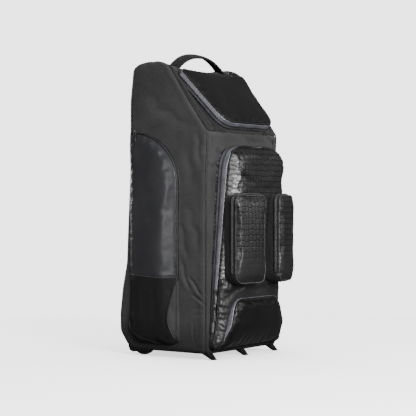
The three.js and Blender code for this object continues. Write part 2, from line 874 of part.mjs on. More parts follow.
// A foot leans forward from the front edge of the base and ends in two prongs.
function footSolid() {
  const top = baseClear - seamGap;
  const heel = frontFace + footHeel;
  const ring = (width, back, front, z) => [
    vector(-width / 2, front, z),
    vector(width / 2, front, z),
    vector(width / 2, back, z),
    vector(-width / 2, back, z),
  ];
  const block = loftGeometry([
    ring(footWidth, heel, frontFace + 2, top),
    ring(footTipWidth, heel - footReach, heel - footReach - footToe, 0),
  ]);
  const split = loftGeometry([
    ring(1, heel + footHeel, frontFace - footHeel, top / 2),
    ring(footTipWidth / 2, heel + footHeel, frontFace - 2 * footHeel, -1),
  ]);
  return solidOf(block).subtract(solidOf(split));
}

function feet() {
  const foot = footSolid();
  add("foot_left", foot.translate([-footSpread, 0, 0]), "plastic");
  add("foot_middle", foot, "plastic");
  add("foot_right", foot.translate([footSpread, 0, 0]), "plastic");
}

const axleY = backFace - wheelSet;
const axleZ = wheelRadius;

function cylinderX(x0, x1, y, z, radius, sides) {
  const geometry = new THREE.CylinderGeometry(radius, radius, x1 - x0, sides);
  geometry.rotateZ(Math.PI / 2);
  geometry.translate((x0 + x1) / 2, y, z);
  return solidOf(geometry);
}

// The left housing: an arch over the wheel, carried down behind it as a guard.
function housingBlock(grow) {
  const inner = -wheelSpread + wheelWidth / 2 + wheelClear + housingWall + grow;
  const outer = -halfWidth + 3 * panelWall - grow;
  const reach = wheelRadius + wheelClear + housingWall + grow;
  const profile = [];
  arc(profile, axleY, axleZ, reach, -32, 180, 12);
  profile.push([axleY - reach, baseClear - 4]);
  profile.push([axleY + wheelRadius * 0.75, guardClear]);
  const ring = (x) => profile.map(([y, z]) => vector(x, y, z));
  return solidOf(loftGeometry([ring(outer), ring(inner)]));
}

function housingSpace() {
  const block = housingBlock(seamGap);
  return block.add(block.mirror([1, 0, 0]));
}

function wheels() {
  const [inner, outer] = [-wheelSpread + wheelWidth / 2, -wheelSpread - wheelWidth / 2];
  const [slotIn, slotOut] = [inner + wheelClear, outer - wheelClear];
  const slotRadius = wheelRadius + wheelClear;
  const slot = cylinderX(slotOut, slotIn, axleY, axleZ, slotRadius, 28).add(
    boxSolid(vector(slotOut, axleY - slotRadius, -1), vector(slotIn, axleY + slotRadius, axleZ / 2)),
  );
  const axle = cylinderX(slotOut - 1, slotIn + 1, axleY, axleZ, axleRadius, 16);
  addPair("wheel_housing", housingBlock(0).subtract(slot).add(axle), "plastic");
  const tyre = cylinderX(outer, inner, axleY, axleZ, wheelRadius, 28);
  const bore = cylinderX(outer - 1, inner + 1, axleY, axleZ, axleRadius + axleClear, 16);
  addPair("wheel", tyre.subtract(bore), "tyre");
}

bodyPanels();
addPair("corner_binding", cornerBinding(), "webbing");
lid();
handle();
sidePockets();
frontPocket();
lowPocket();
pods();
feet();
wheels();

// The origin is on the floor under the middle of the whole bag.
bag.updateMatrixWorld(true);
const bounds = new THREE.Box3().setFromObject(bag, true);
for (const mesh of bag.children) {
  mesh.position.y -= (bounds.min.y + bounds.max.y) / 2;
}

export default bag;
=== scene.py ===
"""A wheeled kit bag of woven and coated cloth, dressed over its solids.

Sizes are in millimetres. Panels are laid out in the bag's own directions: x runs across it,
d runs back from its front panel, and z is the height above the floor.
"""

import math

import bmesh
import bpy
import numpy as np
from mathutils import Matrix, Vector, noise
from mathutils.bvhtree import BVHTree
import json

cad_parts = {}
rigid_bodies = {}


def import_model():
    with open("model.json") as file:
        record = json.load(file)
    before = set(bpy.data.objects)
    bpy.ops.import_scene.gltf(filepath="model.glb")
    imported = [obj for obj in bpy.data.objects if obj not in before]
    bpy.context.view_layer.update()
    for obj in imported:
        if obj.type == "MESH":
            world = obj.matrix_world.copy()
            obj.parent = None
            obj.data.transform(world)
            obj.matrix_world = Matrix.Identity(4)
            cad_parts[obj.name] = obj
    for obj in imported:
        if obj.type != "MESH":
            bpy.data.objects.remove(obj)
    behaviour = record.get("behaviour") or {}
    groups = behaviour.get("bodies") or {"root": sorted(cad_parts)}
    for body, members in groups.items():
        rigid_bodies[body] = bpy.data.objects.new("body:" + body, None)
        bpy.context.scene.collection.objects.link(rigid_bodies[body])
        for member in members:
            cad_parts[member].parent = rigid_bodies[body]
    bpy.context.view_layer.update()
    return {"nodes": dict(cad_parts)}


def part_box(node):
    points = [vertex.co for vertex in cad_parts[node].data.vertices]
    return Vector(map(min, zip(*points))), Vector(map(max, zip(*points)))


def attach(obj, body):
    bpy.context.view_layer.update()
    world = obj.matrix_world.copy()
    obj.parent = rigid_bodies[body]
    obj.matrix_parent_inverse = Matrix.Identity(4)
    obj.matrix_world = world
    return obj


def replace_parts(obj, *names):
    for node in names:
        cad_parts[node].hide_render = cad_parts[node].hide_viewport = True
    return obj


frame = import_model()

MM = 0.001
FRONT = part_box("base_panel")[0][1] / MM  # where the front panel's foot stands

# Body sizes, as in the part's source
BAG_HEIGHT = 910
BAG_DEPTH = 314
HALF = 195
BASE = 20
SPAN = BAG_HEIGHT - BASE
MOUTH = 690
HINGE = 892
HINGE_SET = 135
FRONT_RADIUS = 12
BACK_RADIUS = 34
SIDE_CROWN = 9
BACK_CROWN = 8
TOP_SAG = 16
SLOPE = math.atan2(HINGE - MOUTH, HINGE_SET)

# Height, how far back, half width, and where the front stands
BODY = [
    (BASE, 0.95, 0.98, 0.0),
    (BASE + 0.012 * SPAN, 0.988, 1.0, 0.0),
    (BASE + 0.06 * SPAN, 1.085, 1.0, 0.0),
    (BASE + 0.12 * SPAN, 1.088, 1.0, 0.0),
    (BASE + 0.21 * SPAN, 1.058, 1.0, 0.0),
    (BASE + 0.3 * SPAN, 1.005, 1.0, 0.0),
    (BASE + 0.42 * SPAN, 0.99, 1.0, 0.0),
    (BASE + 0.6 * SPAN, 0.965, 1.0, 0.0),
    (MOUTH, 0.96, 1.0, -0.05),
    ((MOUTH + HINGE) / 2, 0.96, 1.0, 0.5),
    (HINGE, 0.925, 0.995, 1.0),
    (BASE + 0.989 * SPAN, 0.88, 0.99, 1.11),
    (BASE + 0.996 * SPAN, 0.8, 0.98, 1.23),
    (BAG_HEIGHT, 0.7, 0.96, 1.36),
]


def smoothstep(x, low, high):
    t = np.clip((np.asarray(x, float) - low) / (high - low), 0, 1)
    return t * t * (3 - 2 * t)


def bump_noise(points, size, seed=0.0):
    """Soft noise from -1 to 1 at each point, with lumps of about the given size."""
    shift = Vector((seed * 17.3, seed * 5.1, seed * 9.7))
    return np.array([noise.noise(Vector(p) / size + shift) for p in points])


# Meshes


def read_values(items, key, width=1, kind=float):
    """A property of every vertex, edge, face or corner, as an array."""
    flat = np.empty(len(items) * width, kind)
    items.foreach_get(key, flat)
    return flat.reshape(-1, width) if width > 1 else flat


def make_mesh(name, points, faces, material, uv=None):
    """An object from points in the bag's directions, in millimetres."""
    points = np.asarray(points, float).reshape(-1, 3)
    placed = np.column_stack([points[:, 0], points[:, 1] + FRONT, points[:, 2]]) * MM
    mesh = bpy.data.meshes.new(name)
    mesh.from_pydata(placed.tolist(), [], [tuple(int(i) for i in f) for f in faces])
    mesh.materials.append(material)
    if uv is not None:
        layer = mesh.uv_layers.new(name="cloth")
        loops = read_values(mesh.loops, "vertex_index", kind=np.int32)
        layer.data.foreach_set("uv", (np.asarray(uv, float)[loops] * MM).ravel())
    mesh.polygons.foreach_set("use_smooth", [True] * len(mesh.polygons))
    mesh.validate()
    mesh.update()
    made = bpy.data.objects.new(name, mesh)
    bpy.context.collection.objects.link(made)
    return made


def settle(made, nodes=(), body="bag"):
    """Puts a piece on its body and hides the solids that it stands for."""
    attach(made, body)
    if nodes:
        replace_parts(made, *nodes)
    return made


def grid_faces(rows, cols, closed=False, wrapped=False):
    """The faces between rows of points. Closed joins each row's ends, wrapped the end rows."""
    faces = []
    for r in range(rows if wrapped else rows - 1):
        s = (r + 1) % rows
        for c in range(cols if closed else cols - 1):
            n = (c + 1) % cols
            faces.append((r * cols + c, r * cols + n, s * cols + n, s * cols + c))
    return faces


def capped_faces(rows, cols):
    """The faces of a stack of closed rings, with a face over each end."""
    last = (rows - 1) * cols
    ends = [list(range(cols))[::-1], [last + i for i in range(cols)]]
    return grid_faces(rows, cols, closed=True) + ends


def thicken(made, thickness):
    shell = made.modifiers.new("thickness", "SOLIDIFY")
    shell.thickness = thickness * MM
    shell.offset = -1
    return made


def run_of(path):
    """How far along a path each of its points is."""
    return np.r_[0, np.cumsum(np.linalg.norm(np.diff(path, axis=0), axis=1))]


def rows_at(at, known, table):
    """The table's rows read off at new places between the known ones."""
    return np.stack([np.interp(at, known, column) for column in table.T], axis=-1)


def resample(path, step, closed=False):
    """The path's points again, evenly spaced at about the given step."""
    path = np.asarray(path, float)
    if closed:
        path = np.vstack([path, path[:1]])
    length = run_of(path)
    count = max(3, int(round(length[-1] / step)) + 1)
    at = np.linspace(0, length[-1], count)
    even = rows_at(at, length, path)
    return even[:-1] if closed else even


def directions(path, closed=False):
    """Unit vectors along a path."""
    if closed:
        along = np.roll(path, -1, axis=0) - np.roll(path, 1, axis=0)
    else:
        along = np.gradient(path, axis=0)
    return along / np.maximum(np.linalg.norm(along, axis=1, keepdims=True), 1e-9)


def cord(name, path, radius, material, closed=False, nodes=(), body="bag"):
    """A round cord along a path."""
    sides = 8
    along = directions(path, closed)
    up = np.tile(np.array([0.31, 0.22, 0.93]), (len(path), 1))
    across = np.cross(along, up)
    across /= np.maximum(np.linalg.norm(across, axis=1, keepdims=True), 1e-9)
    over = np.cross(across, along)
    angles = np.linspace(0, 2 * math.pi, sides, endpoint=False)
    points = np.concatenate(
        [path + radius * (math.cos(a) * across + math.sin(a) * over) for a in angles]
    )
    count = len(path)
    faces = grid_faces(sides, count, closed, wrapped=True)
    if not closed:
        faces.append([s * count for s in range(sides)])
        faces.append([s * count + count - 1 for s in range(sides - 1, -1, -1)])
    return settle(make_mesh(name, points, faces, material), nodes, body)


def stitches(name, path, outward, length=3.2, gap=2.2, width=0.7, lift=0.25):
    """A row of stitches that lies on a surface along a path."""
    outward = np.asarray(outward, float)
    steps = run_of(path)
    starts = np.arange(0, steps[-1] - length, length + gap)
    points, faces = [], []

    def at(distance):
        out = rows_at(distance, steps, outward)
        return rows_at(distance, steps, path), out / np.linalg.norm(out)

    for start in starts:
        (a, out), (b, _) = at(start), at(start + length)
        along = (b - a) / np.linalg.norm(b - a)
        side = np.cross(along, out) * width / 2
        middle = (a + b) / 2 + out * lift
        k = len(points)
        points += [a, middle - side, b, middle + side, middle + out * width * 0.6]
        faces += [(k, k + 1, k + 4), (k + 1, k + 2, k + 4)]
        faces += [(k + 2, k + 3, k + 4), (k + 3, k, k + 4)]
    return settle(make_mesh(name, points, faces, DARK_THREAD))


# Materials


class Surface:
    """A short way to wire a procedural material."""

    def __init__(self, name):
        self.material = bpy.data.materials.new(name)
        self.material.use_nodes = True
        self.tree = self.material.node_tree
        self.shader = self.tree.nodes["Principled BSDF"]
        self.where = self.node("ShaderNodeTexCoord")

    def node(self, kind, **values):
        made = self.tree.nodes.new(kind)
        for key, value in values.items():
            if hasattr(made, key):
                setattr(made, key, value)
            else:
                made.inputs[key.replace("_", " ")].default_value = value
        return made

    def link(self, source, target):
        self.tree.links.new(source, target)

    def math(self, operation, a, b=None):
        made = self.node("ShaderNodeMath", operation=operation)
        for socket, value in zip(made.inputs, (a, b)):
            if value is None:
                continue
            if isinstance(value, (int, float)):
                socket.default_value = value
            else:
                self.link(value, socket)
        return made.outputs[0]

    def ramp(self, source, stops):
        made = self.node("ShaderNodeValToRGB")
        elements = made.color_ramp.elements
        while len(elements) < len(stops):
            elements.new(0.5)
        for element, (place, value) in zip(elements, stops):
            element.position = place
            element.color = (*value, 1) if isinstance(value, tuple) else (value, value, value, 1)
        self.link(source, made.inputs[0])
        return made.outputs[0]

    def noise(self, scale, detail=3.0, roughness=0.5, stretch=None, coords="Object"):
        made = self.node("ShaderNodeTexNoise", Scale=scale, Detail=detail, Roughness=roughness)
        self.link(self.stretched(stretch, coords), made.inputs["Vector"])
        return made.outputs["Fac"]

    def stretched(self, stretch, coords):
        if stretch is None:
            return self.where.outputs[coords]
        made = self.node("ShaderNodeMapping", Scale=stretch)
        self.link(self.where.outputs[coords], made.inputs["Vector"])
        return made.outputs[0]

    def wave(self, scale, direction, coords="Object", distortion=0.0):
        made = self.node(
            "ShaderNodeTexWave", bands_direction=direction, Scale=scale, Distortion=distortion
        )
        self.link(self.stretched(None, coords), made.inputs["Vector"])
        return made.outputs["Fac"]

    def bump(self, height, distance, strength=1.0, under=None):
        made = self.node("ShaderNodeBump", Distance=distance, Strength=strength)
        self.link(height, made.inputs["Height"])
        if under is not None:
            self.link(under, made.inputs["Normal"])
        return made.outputs[0]

    def rise(self, low, high):
        """A value that climbs from 0 to 1 between two heights."""
        split = self.node("ShaderNodeSeparateXYZ")
        self.link(self.where.outputs["Object"], split.inputs[0])
        ranged = self.node("ShaderNodeMapRange", From_Min=low * MM, From_Max=high * MM)
        self.link(split.outputs["Z"], ranged.inputs["Value"])
        return ranged.outputs[0]

    def tinted(self, base, share, tint):
        """The base colour, multiplied by a tint as far as the share says."""
        mixed = self.node("ShaderNodeMix", data_type="RGBA", blend_type="MULTIPLY")
        self.link(share, mixed.inputs[0])
        self.link(base, mixed.inputs[6])
        mixed.inputs[7].default_value = (*tint, 1)
        return mixed.outputs[2]

    def set(self, **values):
        for key, value in values.items():
            self.shader.inputs[key.replace("_", " ")].default_value = value

    def colour(self, source):
        self.link(source, self.shader.inputs["Base Color"])

    def rough(self, source):
        self.link(source, self.shader.inputs["Roughness"])

    def normal(self, source):
        self.link(source, self.shader.inputs["Normal"])


def thread_scale(pitch):
    """The scale at which a wave texture repeats once in pitch millimetres."""
    return 2 * math.pi / (20 * pitch * MM)


def woven(name, dark, light, pitch=1.1, roughness=0.85, sheen=0.06, crumple=1.0, coords="UV"):
    """Plain woven polyester with crossing threads, heathered colour and dusty patches, darker
    towards the bottom.
    """
    s = Surface(name)
    warp = s.wave(thread_scale(pitch), "X", coords, 0.6)
    weft = s.wave(thread_scale(pitch), "Y", coords, 0.6)
    threads = s.math("MAXIMUM", warp, weft)
    heather = s.noise(900, 2.0, 0.6, (1.0, 1.0, 0.35))
    dust = s.noise(9, 5.0, 0.62)
    mixed = s.math("ADD", s.math("MULTIPLY", heather, 0.6), s.math("MULTIPLY", dust, 0.4))
    # Darker towards the bottom: the colour falls to 0.4 of itself from 120 mm down to 24 mm.
    darker_low = s.math("SUBTRACT", 1.0, s.rise(24, 120))
    s.colour(s.tinted(s.ramp(mixed, [(0.36, dark), (0.66, light)]), darker_low, grey(0.4)))
    s.rough(s.ramp(dust, [(0.3, roughness - 0.06), (0.7, min(1.0, roughness + 0.08))]))
    soft = s.bump(s.noise(34, 4.0, 0.55), 0.0016 * crumple, 0.6)
    fine = s.bump(s.noise(130, 3.0, 0.6), 0.0004, 0.5, soft)
    s.normal(s.bump(threads, 0.00022, 0.7, fine))
    s.set(Sheen_Weight=sheen, Sheen_Roughness=0.45, Specular_IOR_Level=0.15)
    return s.material


def coated(name, dark, light, roughness=0.42, crumple=1.0, grain=420, specular=0.25):
    """Smooth coated cloth: a fine skin grain over soft creases."""
    s = Surface(name)
    cloud = s.noise(7, 5.0, 0.6)
    s.colour(s.ramp(cloud, [(0.32, dark), (0.7, light)]))
    s.rough(s.ramp(s.noise(22, 4.0, 0.6), [(0.3, roughness - 0.05), (0.72, roughness + 0.08)]))
    soft = s.bump(s.noise(26, 4.0, 0.55), 0.0013 * crumple, 0.6)
    s.normal(s.bump(s.noise(grain, 3.0, 0.6), 0.00018, 0.6, soft))
    s.set(Sheen_Weight=0.02, Specular_IOR_Level=specular)
    return s.material


def pleated(name, dark, light, pitch=15.0, roughness=0.36):
    """Glossy cloth drawn into uneven cross pleats, with painted shade where each one tucks under.
    """
    s = Surface(name)
    bend = s.node("ShaderNodeMapping", Rotation=(0, 0, 0.25))
    s.link(s.where.outputs["UV"], bend.inputs["Vector"])
    pleats = s.node(
        "ShaderNodeTexWave",
        bands_direction="Y",
        Scale=thread_scale(pitch),
        Distortion=5.0,
        Detail_Scale=1.4,
    )
    s.link(bend.outputs[0], pleats.inputs["Vector"])
    # Painted shade: the colour goes dark where each pleat tucks under.
    tuck = s.ramp(pleats.outputs["Fac"], [(0.05, 0.0), (0.4, 1.0)])
    s.colour(s.ramp(s.math("MULTIPLY", tuck, s.noise(60, 4.0)), [(0.1, dark), (0.5, light)]))
    s.rough(s.ramp(s.noise(40, 4.0, 0.6), [(0.3, roughness - 0.06), (0.72, roughness + 0.1)]))
    soft = s.bump(s.noise(70, 4.0, 0.6), 0.0012, 0.7)
    grain = s.bump(s.noise(380, 3.0, 0.6), 0.00018, 0.6, soft)
    s.normal(s.bump(pleats.outputs["Fac"], 0.0016, 0.8, grain))
    s.set(Specular_IOR_Level=0.5)
    return s.material


def embossed(name, dark, light, roughness, fade_low, fade_high, cell=(14.5, 17.0)):
    """Glossy coated cloth pressed with uneven tiles, which fade out down the piece. Its grooves are
    darkened as painted shade.
    """
    s = Surface(name)
    place = s.stretched((1000 / cell[0], 1000 / cell[1], 1.0), "UV")
    tiles = s.node(
        "ShaderNodeTexVoronoi",
        feature="DISTANCE_TO_EDGE",
        voronoi_dimensions="2D",
        Scale=1.0,
        Randomness=0.32,
    )
    s.link(place, tiles.inputs["Vector"])
    groove = s.ramp(tiles.outputs["Distance"], [(0.02, 0.0), (0.15, 1.0)])
    groove_and_painted_shade = s.math("MULTIPLY", s.math("SUBTRACT", 1.0, groove), s.rise(fade_low, fade_high))
    height = s.math("SUBTRACT", 1.0, groove_and_painted_shade)
    cloud = s.noise(8, 5.0, 0.6)
    base = s.ramp(cloud, [(0.32, dark), (0.7, light)])
    # The grooves are multiplied down to 0.12 of the colour: painted shade in the pressed lines.
    s.colour(s.tinted(base, groove_and_painted_shade, grey(0.12)))
    low, high = roughness
    s.rough(s.ramp(s.noise(18, 4.0, 0.6), [(0.3, low), (0.75, high)]))
    soft = s.bump(s.noise(30, 4.0, 0.55), 0.0014, 0.6)
    grain = s.bump(s.noise(380, 3.0, 0.6), 0.0002, 0.5, soft)
    s.normal(s.bump(height, 0.0006, 0.8, grain))
    s.set(Specular_IOR_Level=0.25)
    return s.material


def tape(name, dark, light, roughness=0.34):
    """Zip tape with a glossy film over fine cross ribs."""
    s = Surface(name)
    s.colour(s.ramp(s.noise(30, 3.0), [(0.35, dark), (0.7, light)]))
    s.rough(s.ramp(s.noise(60, 3.0), [(0.3, roughness - 0.06), (0.7, roughness + 0.08)]))
    soft = s.bump(s.noise(60, 3.0), 0.0006, 0.5)
    s.normal(s.bump(s.wave(thread_scale(0.9), "X", "UV", 0.3), 0.0001, 0.6, soft))
    s.set(Specular_IOR_Level=0.5)
    return s.material


def ribbed(name, dark, light, pitch=1.6):
    """Narrow woven webbing: ribs across it with a fine twill."""
    s = Surface(name)
    ribs = s.wave(thread_scale(pitch), "X", "UV", 0.4)
    twill = s.wave(thread_scale(pitch * 0.6), "DIAGONAL", "UV", 0.4)
    s.colour(s.ramp(s.noise(300, 3.0), [(0.35, dark), (0.7, light)]))
    s.rough(s.ramp(s.noise(40, 3.0), [(0.3, 0.72), (0.7, 0.88)]))
    s.normal(s.bump(ribs, 0.0004, 0.8, s.bump(twill, 0.0002, 0.6)))
    s.set(Sheen_Weight=0.04, Sheen_Roughness=0.4, Specular_IOR_Level=0.15)
    return s.material


def plastic(name, dark, light, roughness=0.45):
    """Moulded plastic with a fine spark-eroded grain and scuffs."""
    s = Surface(name)
    s.colour(s.ramp(s.noise(40, 4.0), [(0.35, dark), (0.72, light)]))
    scuff = s.noise(26, 5.0, 0.65, (1.0, 1.0, 3.0))
    s.rough(s.ramp(scuff, [(0.35, roughness - 0.08), (0.7, roughness + 0.14)]))
    s.normal(s.bump(s.noise(1500, 2.0), 0.00008, 0.7))
    s.set(Specular_IOR_Level=0.3)
    return s.material


def metal(name, colour, roughness=0.38):
    s = Surface(name)
    s.colour(s.ramp(s.noise(90, 4.0), [(0.4, colour), (0.75, tuple(c * 2.2 for c in colour))]))
    s.rough(s.ramp(s.noise(120, 3.0), [(0.3, roughness - 0.08), (0.7, roughness + 0.1)]))
    s.normal(s.bump(s.noise(600, 2.0), 0.00006, 0.6))
    s.set(Metallic=0.6)
    return s.material


def grey(value, blue=1.0):
    return (value, value, value * blue)


WOVEN = woven("woven_cloth", grey(0.019), grey(0.041))
TOP_CLOTH = woven("top_cloth", grey(0.008), grey(0.016))
WOVEN_FOOT = woven("foot_cloth", grey(0.007, 1.03), grey(0.013, 1.04), 0.8, 0.7, 0.02)
COATED = coated("coated_cloth", grey(0.016, 1.14), grey(0.027, 1.16), 0.38, 0.5, specular=0.5)
LID_CLOTH = coated("lid_cloth", grey(0.003), grey(0.005), 0.55, 0.6, specular=0.1)
TILES = embossed("tiled_cloth", grey(0.009), grey(0.015), (0.36, 0.5), 190, 420)
POD_TILES = embossed("pod_cloth", grey(0.009), grey(0.015), (0.34, 0.48), 265, 345)
GLOSS = coated("gloss_cloth", grey(0.002), grey(0.0045), 0.34, 1.3, 380, specular=0.18)
# The ruffle strips are coloured many times lighter than the tiled cloth around them: a painted
# highlight along the front pocket's rounded edge.
RUFFLE_PAINTED_LIGHT = pleated("ruffled_cloth_painted_light", grey(0.045), grey(0.13))
ZIP_TAPE = tape("zip_tape", grey(0.06, 1.15), grey(0.1, 1.2), 0.3)
POD_ZIP = tape("pod_zip_tape", grey(0.02, 1.1), grey(0.035, 1.12), 0.4)
DARK_ZIP = tape("dark_zip_tape", grey(0.007, 1.05), grey(0.013, 1.1), 0.5)
PIPING = coated("piping", grey(0.03, 1.03), grey(0.045, 1.04), 0.34, 0.3)
DARK_PIPING = coated("dark_piping", grey(0.006), grey(0.011), 0.4, 0.3)
WEBBING = ribbed("webbing", grey(0.005), grey(0.01))
DARK_THREAD = woven("dark_thread", grey(0.01), grey(0.02), 0.4, 0.7, 0.4)
TEETH = plastic("zip_coil", grey(0.012), grey(0.025), 0.4)
PLASTIC = plastic("moulded_plastic", grey(0.004), grey(0.008))
RUBBER = plastic("rubber", grey(0.005), grey(0.01), 0.7)
METAL = metal("zip_metal", grey(0.02))


# The body's sewn panels


def smooth_rows(table, step=4.0, radius=11.0):
    """The table's rows at an even spacing along the outline, with its corners softened."""
    table = np.asarray(table, float)
    place = table.copy()
    place[:, 1] *= BAG_DEPTH
    place[:, 2] *= HALF
    place[:, 3] *= HINGE_SET
    length = run_of(place)
    at = np.arange(0, length[-1] + step, step)
    rows = rows_at(at, length, place)
    reach = int(round(radius / step))
    padded = np.vstack([rows[:1]] * reach + [rows] + [rows[-1:]] * reach)
    kernel = np.hanning(2 * reach + 3)[1:-1]
    kernel /= kernel.sum()
    smooth = np.column_stack([np.convolve(padded[:, k], kernel, "valid") for k in range(4)])
    smooth[0], smooth[-1] = rows[0], rows[-1]
    return smooth


ROWS = smooth_rows(BODY)
SIDE_COLS = 84
FLAT_COLS = 100
CORNER_COLS = 9


def ring(z, back, half, front):
    """Points round the body at one row: front, right side, back and left side, and their arcs."""
    rise = min(1.0, max(0.0, (z - BASE) / SPAN))
    swell = max(0.0, math.sin(math.pi * rise)) ** 0.5
    f = FRONT_RADIUS
    b = min(BACK_RADIUS, max(8.0, (back - front) * 0.45))
    corner = np.linspace(0, math.pi / 2, CORNER_COLS)
    u = np.linspace(0, 1, SIDE_COLS)
    lift = 4 * u * (1 - u)
    side_d = front + f + (back - b - front - f) * u
    side_x = half + SIDE_CROWN * swell * lift
    u = np.linspace(0, 1, FLAT_COLS)
    lift = 4 * u * (1 - u)
    front_x = -half + f + (2 * half - 2 * f) * u
    back_x = half - b - (2 * half - 2 * b) * u
    back_d = back + BACK_CROWN * swell * lift
    corner_front = np.column_stack([half - f + f * np.sin(corner), front + f - f * np.cos(corner)])
    corner_back = np.column_stack([half - b + b * np.cos(corner), back - b + b * np.sin(corner)])
    return {
        "front": np.column_stack([front_x, np.full(FLAT_COLS, front)]),
        "corner_front": corner_front,
        "side": np.column_stack([side_x, side_d]),
        "corner_back": corner_back,
        "back": np.column_stack([back_x, back_d]),
    }


def hang(points):
    """The top hangs between the side panels."""
    reach = smoothstep(points[:, 2], MOUTH, HINGE)
    across = np.clip(np.abs(points[:, 0]) / HALF, 0, 1)
    points[:, 2] -= TOP_SAG * reach * (1 - across**2)
    return points


# How far behind the corner the seam's second line runs
SEAM_FELL = 8.0

# The second seam beside the lid, as distance across and height
SHOULDER_SEAM = [(-189, 872), (-184, 800), (-176, 730), (-170, 696), (-175, 640), (-186, 592)]

# Folds drawn on a panel: along two or three places, how deep, and how wide
SIDE_FOLDS = [
    # d0, z0, d1, z1, depth, width
    (62, 252, 10, 190, 2.6, 4.2),
    (50, 196, 6, 170, 2.2, 3.4),
    (44, 150, 6, 154, 1.0, 2.6),
    (46, 132, 6, 138, 0.8, 2.6),
    (46, 118, 44, 50, 1.8, 2.6),
    (43, 34, 8, 36, 1.6, 3.0),
    (88, 300, 58, 208, 2.0, 6.0),
    (86, 420, 66, 300, 1.6, 9.0),
    (62, 470, 20, 330, 1.3, 12.0),
    (70, 640, 40, 520, 1.4, 14.0),
    (150, 760, 60, 700, 1.5, 16.0),
    (230, 820, 130, 730, 1.4, 20.0),
    (30, 690, 14, 560, 1.6, 9.0),
]
FRONT_FOLDS = [
    # x0, z0, x1, z1, depth, width
    (-100, 693, 128, 694, 4.5, 5.0),
    (-30, 688, 30, 668, 3.4, 8.0),
    (30, 668, 118, 664, 2.6, 8.0),
    (-140, 726, -163, 682, 3.0, 5.0),
    (-163, 682, -177, 590, 2.0, 5.0),
    (-184, 579, -96, 606, 2.8, 6.0),
    (120, 690, 176, 660, 3.0, 6.0),
    (-150, 640, -120, 616, 1.8, 7.0),
]
BACK_FOLDS = [
    # x0, z0, x1, z1, depth, width
    (-170, 300, -40, 262, 2.0, 14.0),
    (40, 250, 170, 305, 2.0, 14.0),
    (-160, 500, -60, 460, 1.4, 16.0),
    (50, 640, 150, 600, 1.4, 16.0),
    (-150, 150, -30, 132, 1.8, 12.0),
    (60, 128, 160, 150, 1.8, 12.0),
]


def fold_depths(table, across, height):
    """How far each point lies in the table's folds. A low ridge runs beside each fold."""
    depth = np.zeros(len(across))
    for a0, z0, a1, z1, deep, wide in table:
        run = np.array([a1 - a0, z1 - z0], float)
        length = np.linalg.norm(run)
        run /= length
        along = (across - a0) * run[0] + (height - z0) * run[1]
        wander = 0.35 * wide * np.sin(along / 11.0 + a0)
        off = (across - a0) * -run[1] + (height - z0) * run[0] + wander
        ends = smoothstep(along, -wide, length * 0.25) * (
            1 - smoothstep(along, length * 0.75, length + wide)
        )
        groove = np.exp(-((off / wide) ** 2))
        ridge = np.exp(-(((off - 1.9 * wide) / (1.4 * wide)) ** 2))
        depth += 1.5 * deep * ends * (groove - 0.55 * ridge)
    return depth


def surface_normals(points, rows, cols):
    grid = points.reshape(rows, cols, 3)
    normal = np.cross(np.gradient(grid, axis=1), np.gradient(grid, axis=0)).reshape(-1, 3)
    return normal / np.maximum(np.linalg.norm(normal, axis=1, keepdims=True), 1e-9)


def edge_distance(rows, cols, grid):
    """How far each grid point is from the panel's border, measured over the surface."""
    across = np.linalg.norm(np.diff(grid, axis=1), axis=2)
    down = np.linalg.norm(np.diff(grid, axis=0), axis=2)
    left = np.hstack([np.zeros((rows, 1)), np.cumsum(across, axis=1)])
    top = np.vstack([np.zeros((1, cols)), np.cumsum(down, axis=0)])
    sideways = np.minimum(left, left[:, -1:] - left)
    upright = np.minimum(top, top[-1:] - top)
    return np.minimum(sideways, upright).ravel(), left.ravel(), top.ravel()


PANEL_CLOTH = 2.5  # a panel's thickness
TUCK_DEPTH, TUCK_REACH = 2.6, 3.2  # how a panel dips at its seams
PUFF_HEIGHT, PUFF_SET, PUFF_REACH = 1.4, 14, 9.0  # how it swells beside them
LUMP_SIZE, FINE_LUMP_SIZE, GATHER_SIZE = 78, 27, 9


def dress_panel(name, grid, nodes, outward, material, folds=(), place=0, billow=1.6, seed=1.0):
    """A sewn panel: tucked in at its seams, padded between them, with its folds."""
    rows, cols = grid.shape[:2]
    points = grid.reshape(-1, 3).copy()
    normal = surface_normals(points, rows, cols)
    if np.mean(normal @ np.asarray(outward, float)) < 0:
        normal = -normal
    border, left, top = edge_distance(rows, cols, grid)
    tuck = TUCK_DEPTH * np.exp(-((border / TUCK_REACH) ** 2))
    puff = PUFF_HEIGHT * np.exp(-(((border - PUFF_SET) / PUFF_REACH) ** 2))
    rough = billow * bump_noise(points, LUMP_SIZE, seed)
    rough += 0.35 * billow * bump_noise(points, FINE_LUMP_SIZE, seed + 3)
    gathers = 0.55 * np.exp(-border / 11) * bump_noise(points, GATHER_SIZE, seed + 7)
    inside = smoothstep(border, 0, 18)
    move = puff - tuck + rough * inside + gathers
    if len(folds):
        move -= fold_depths(folds, points[:, place], points[:, 2])
    points += normal * move[:, None]
    uv = np.column_stack([left, top])
    made = make_mesh(name, points, grid_faces(rows, cols), material, uv=uv)
    thicken(made, PANEL_CLOTH)
    return settle(made, nodes)


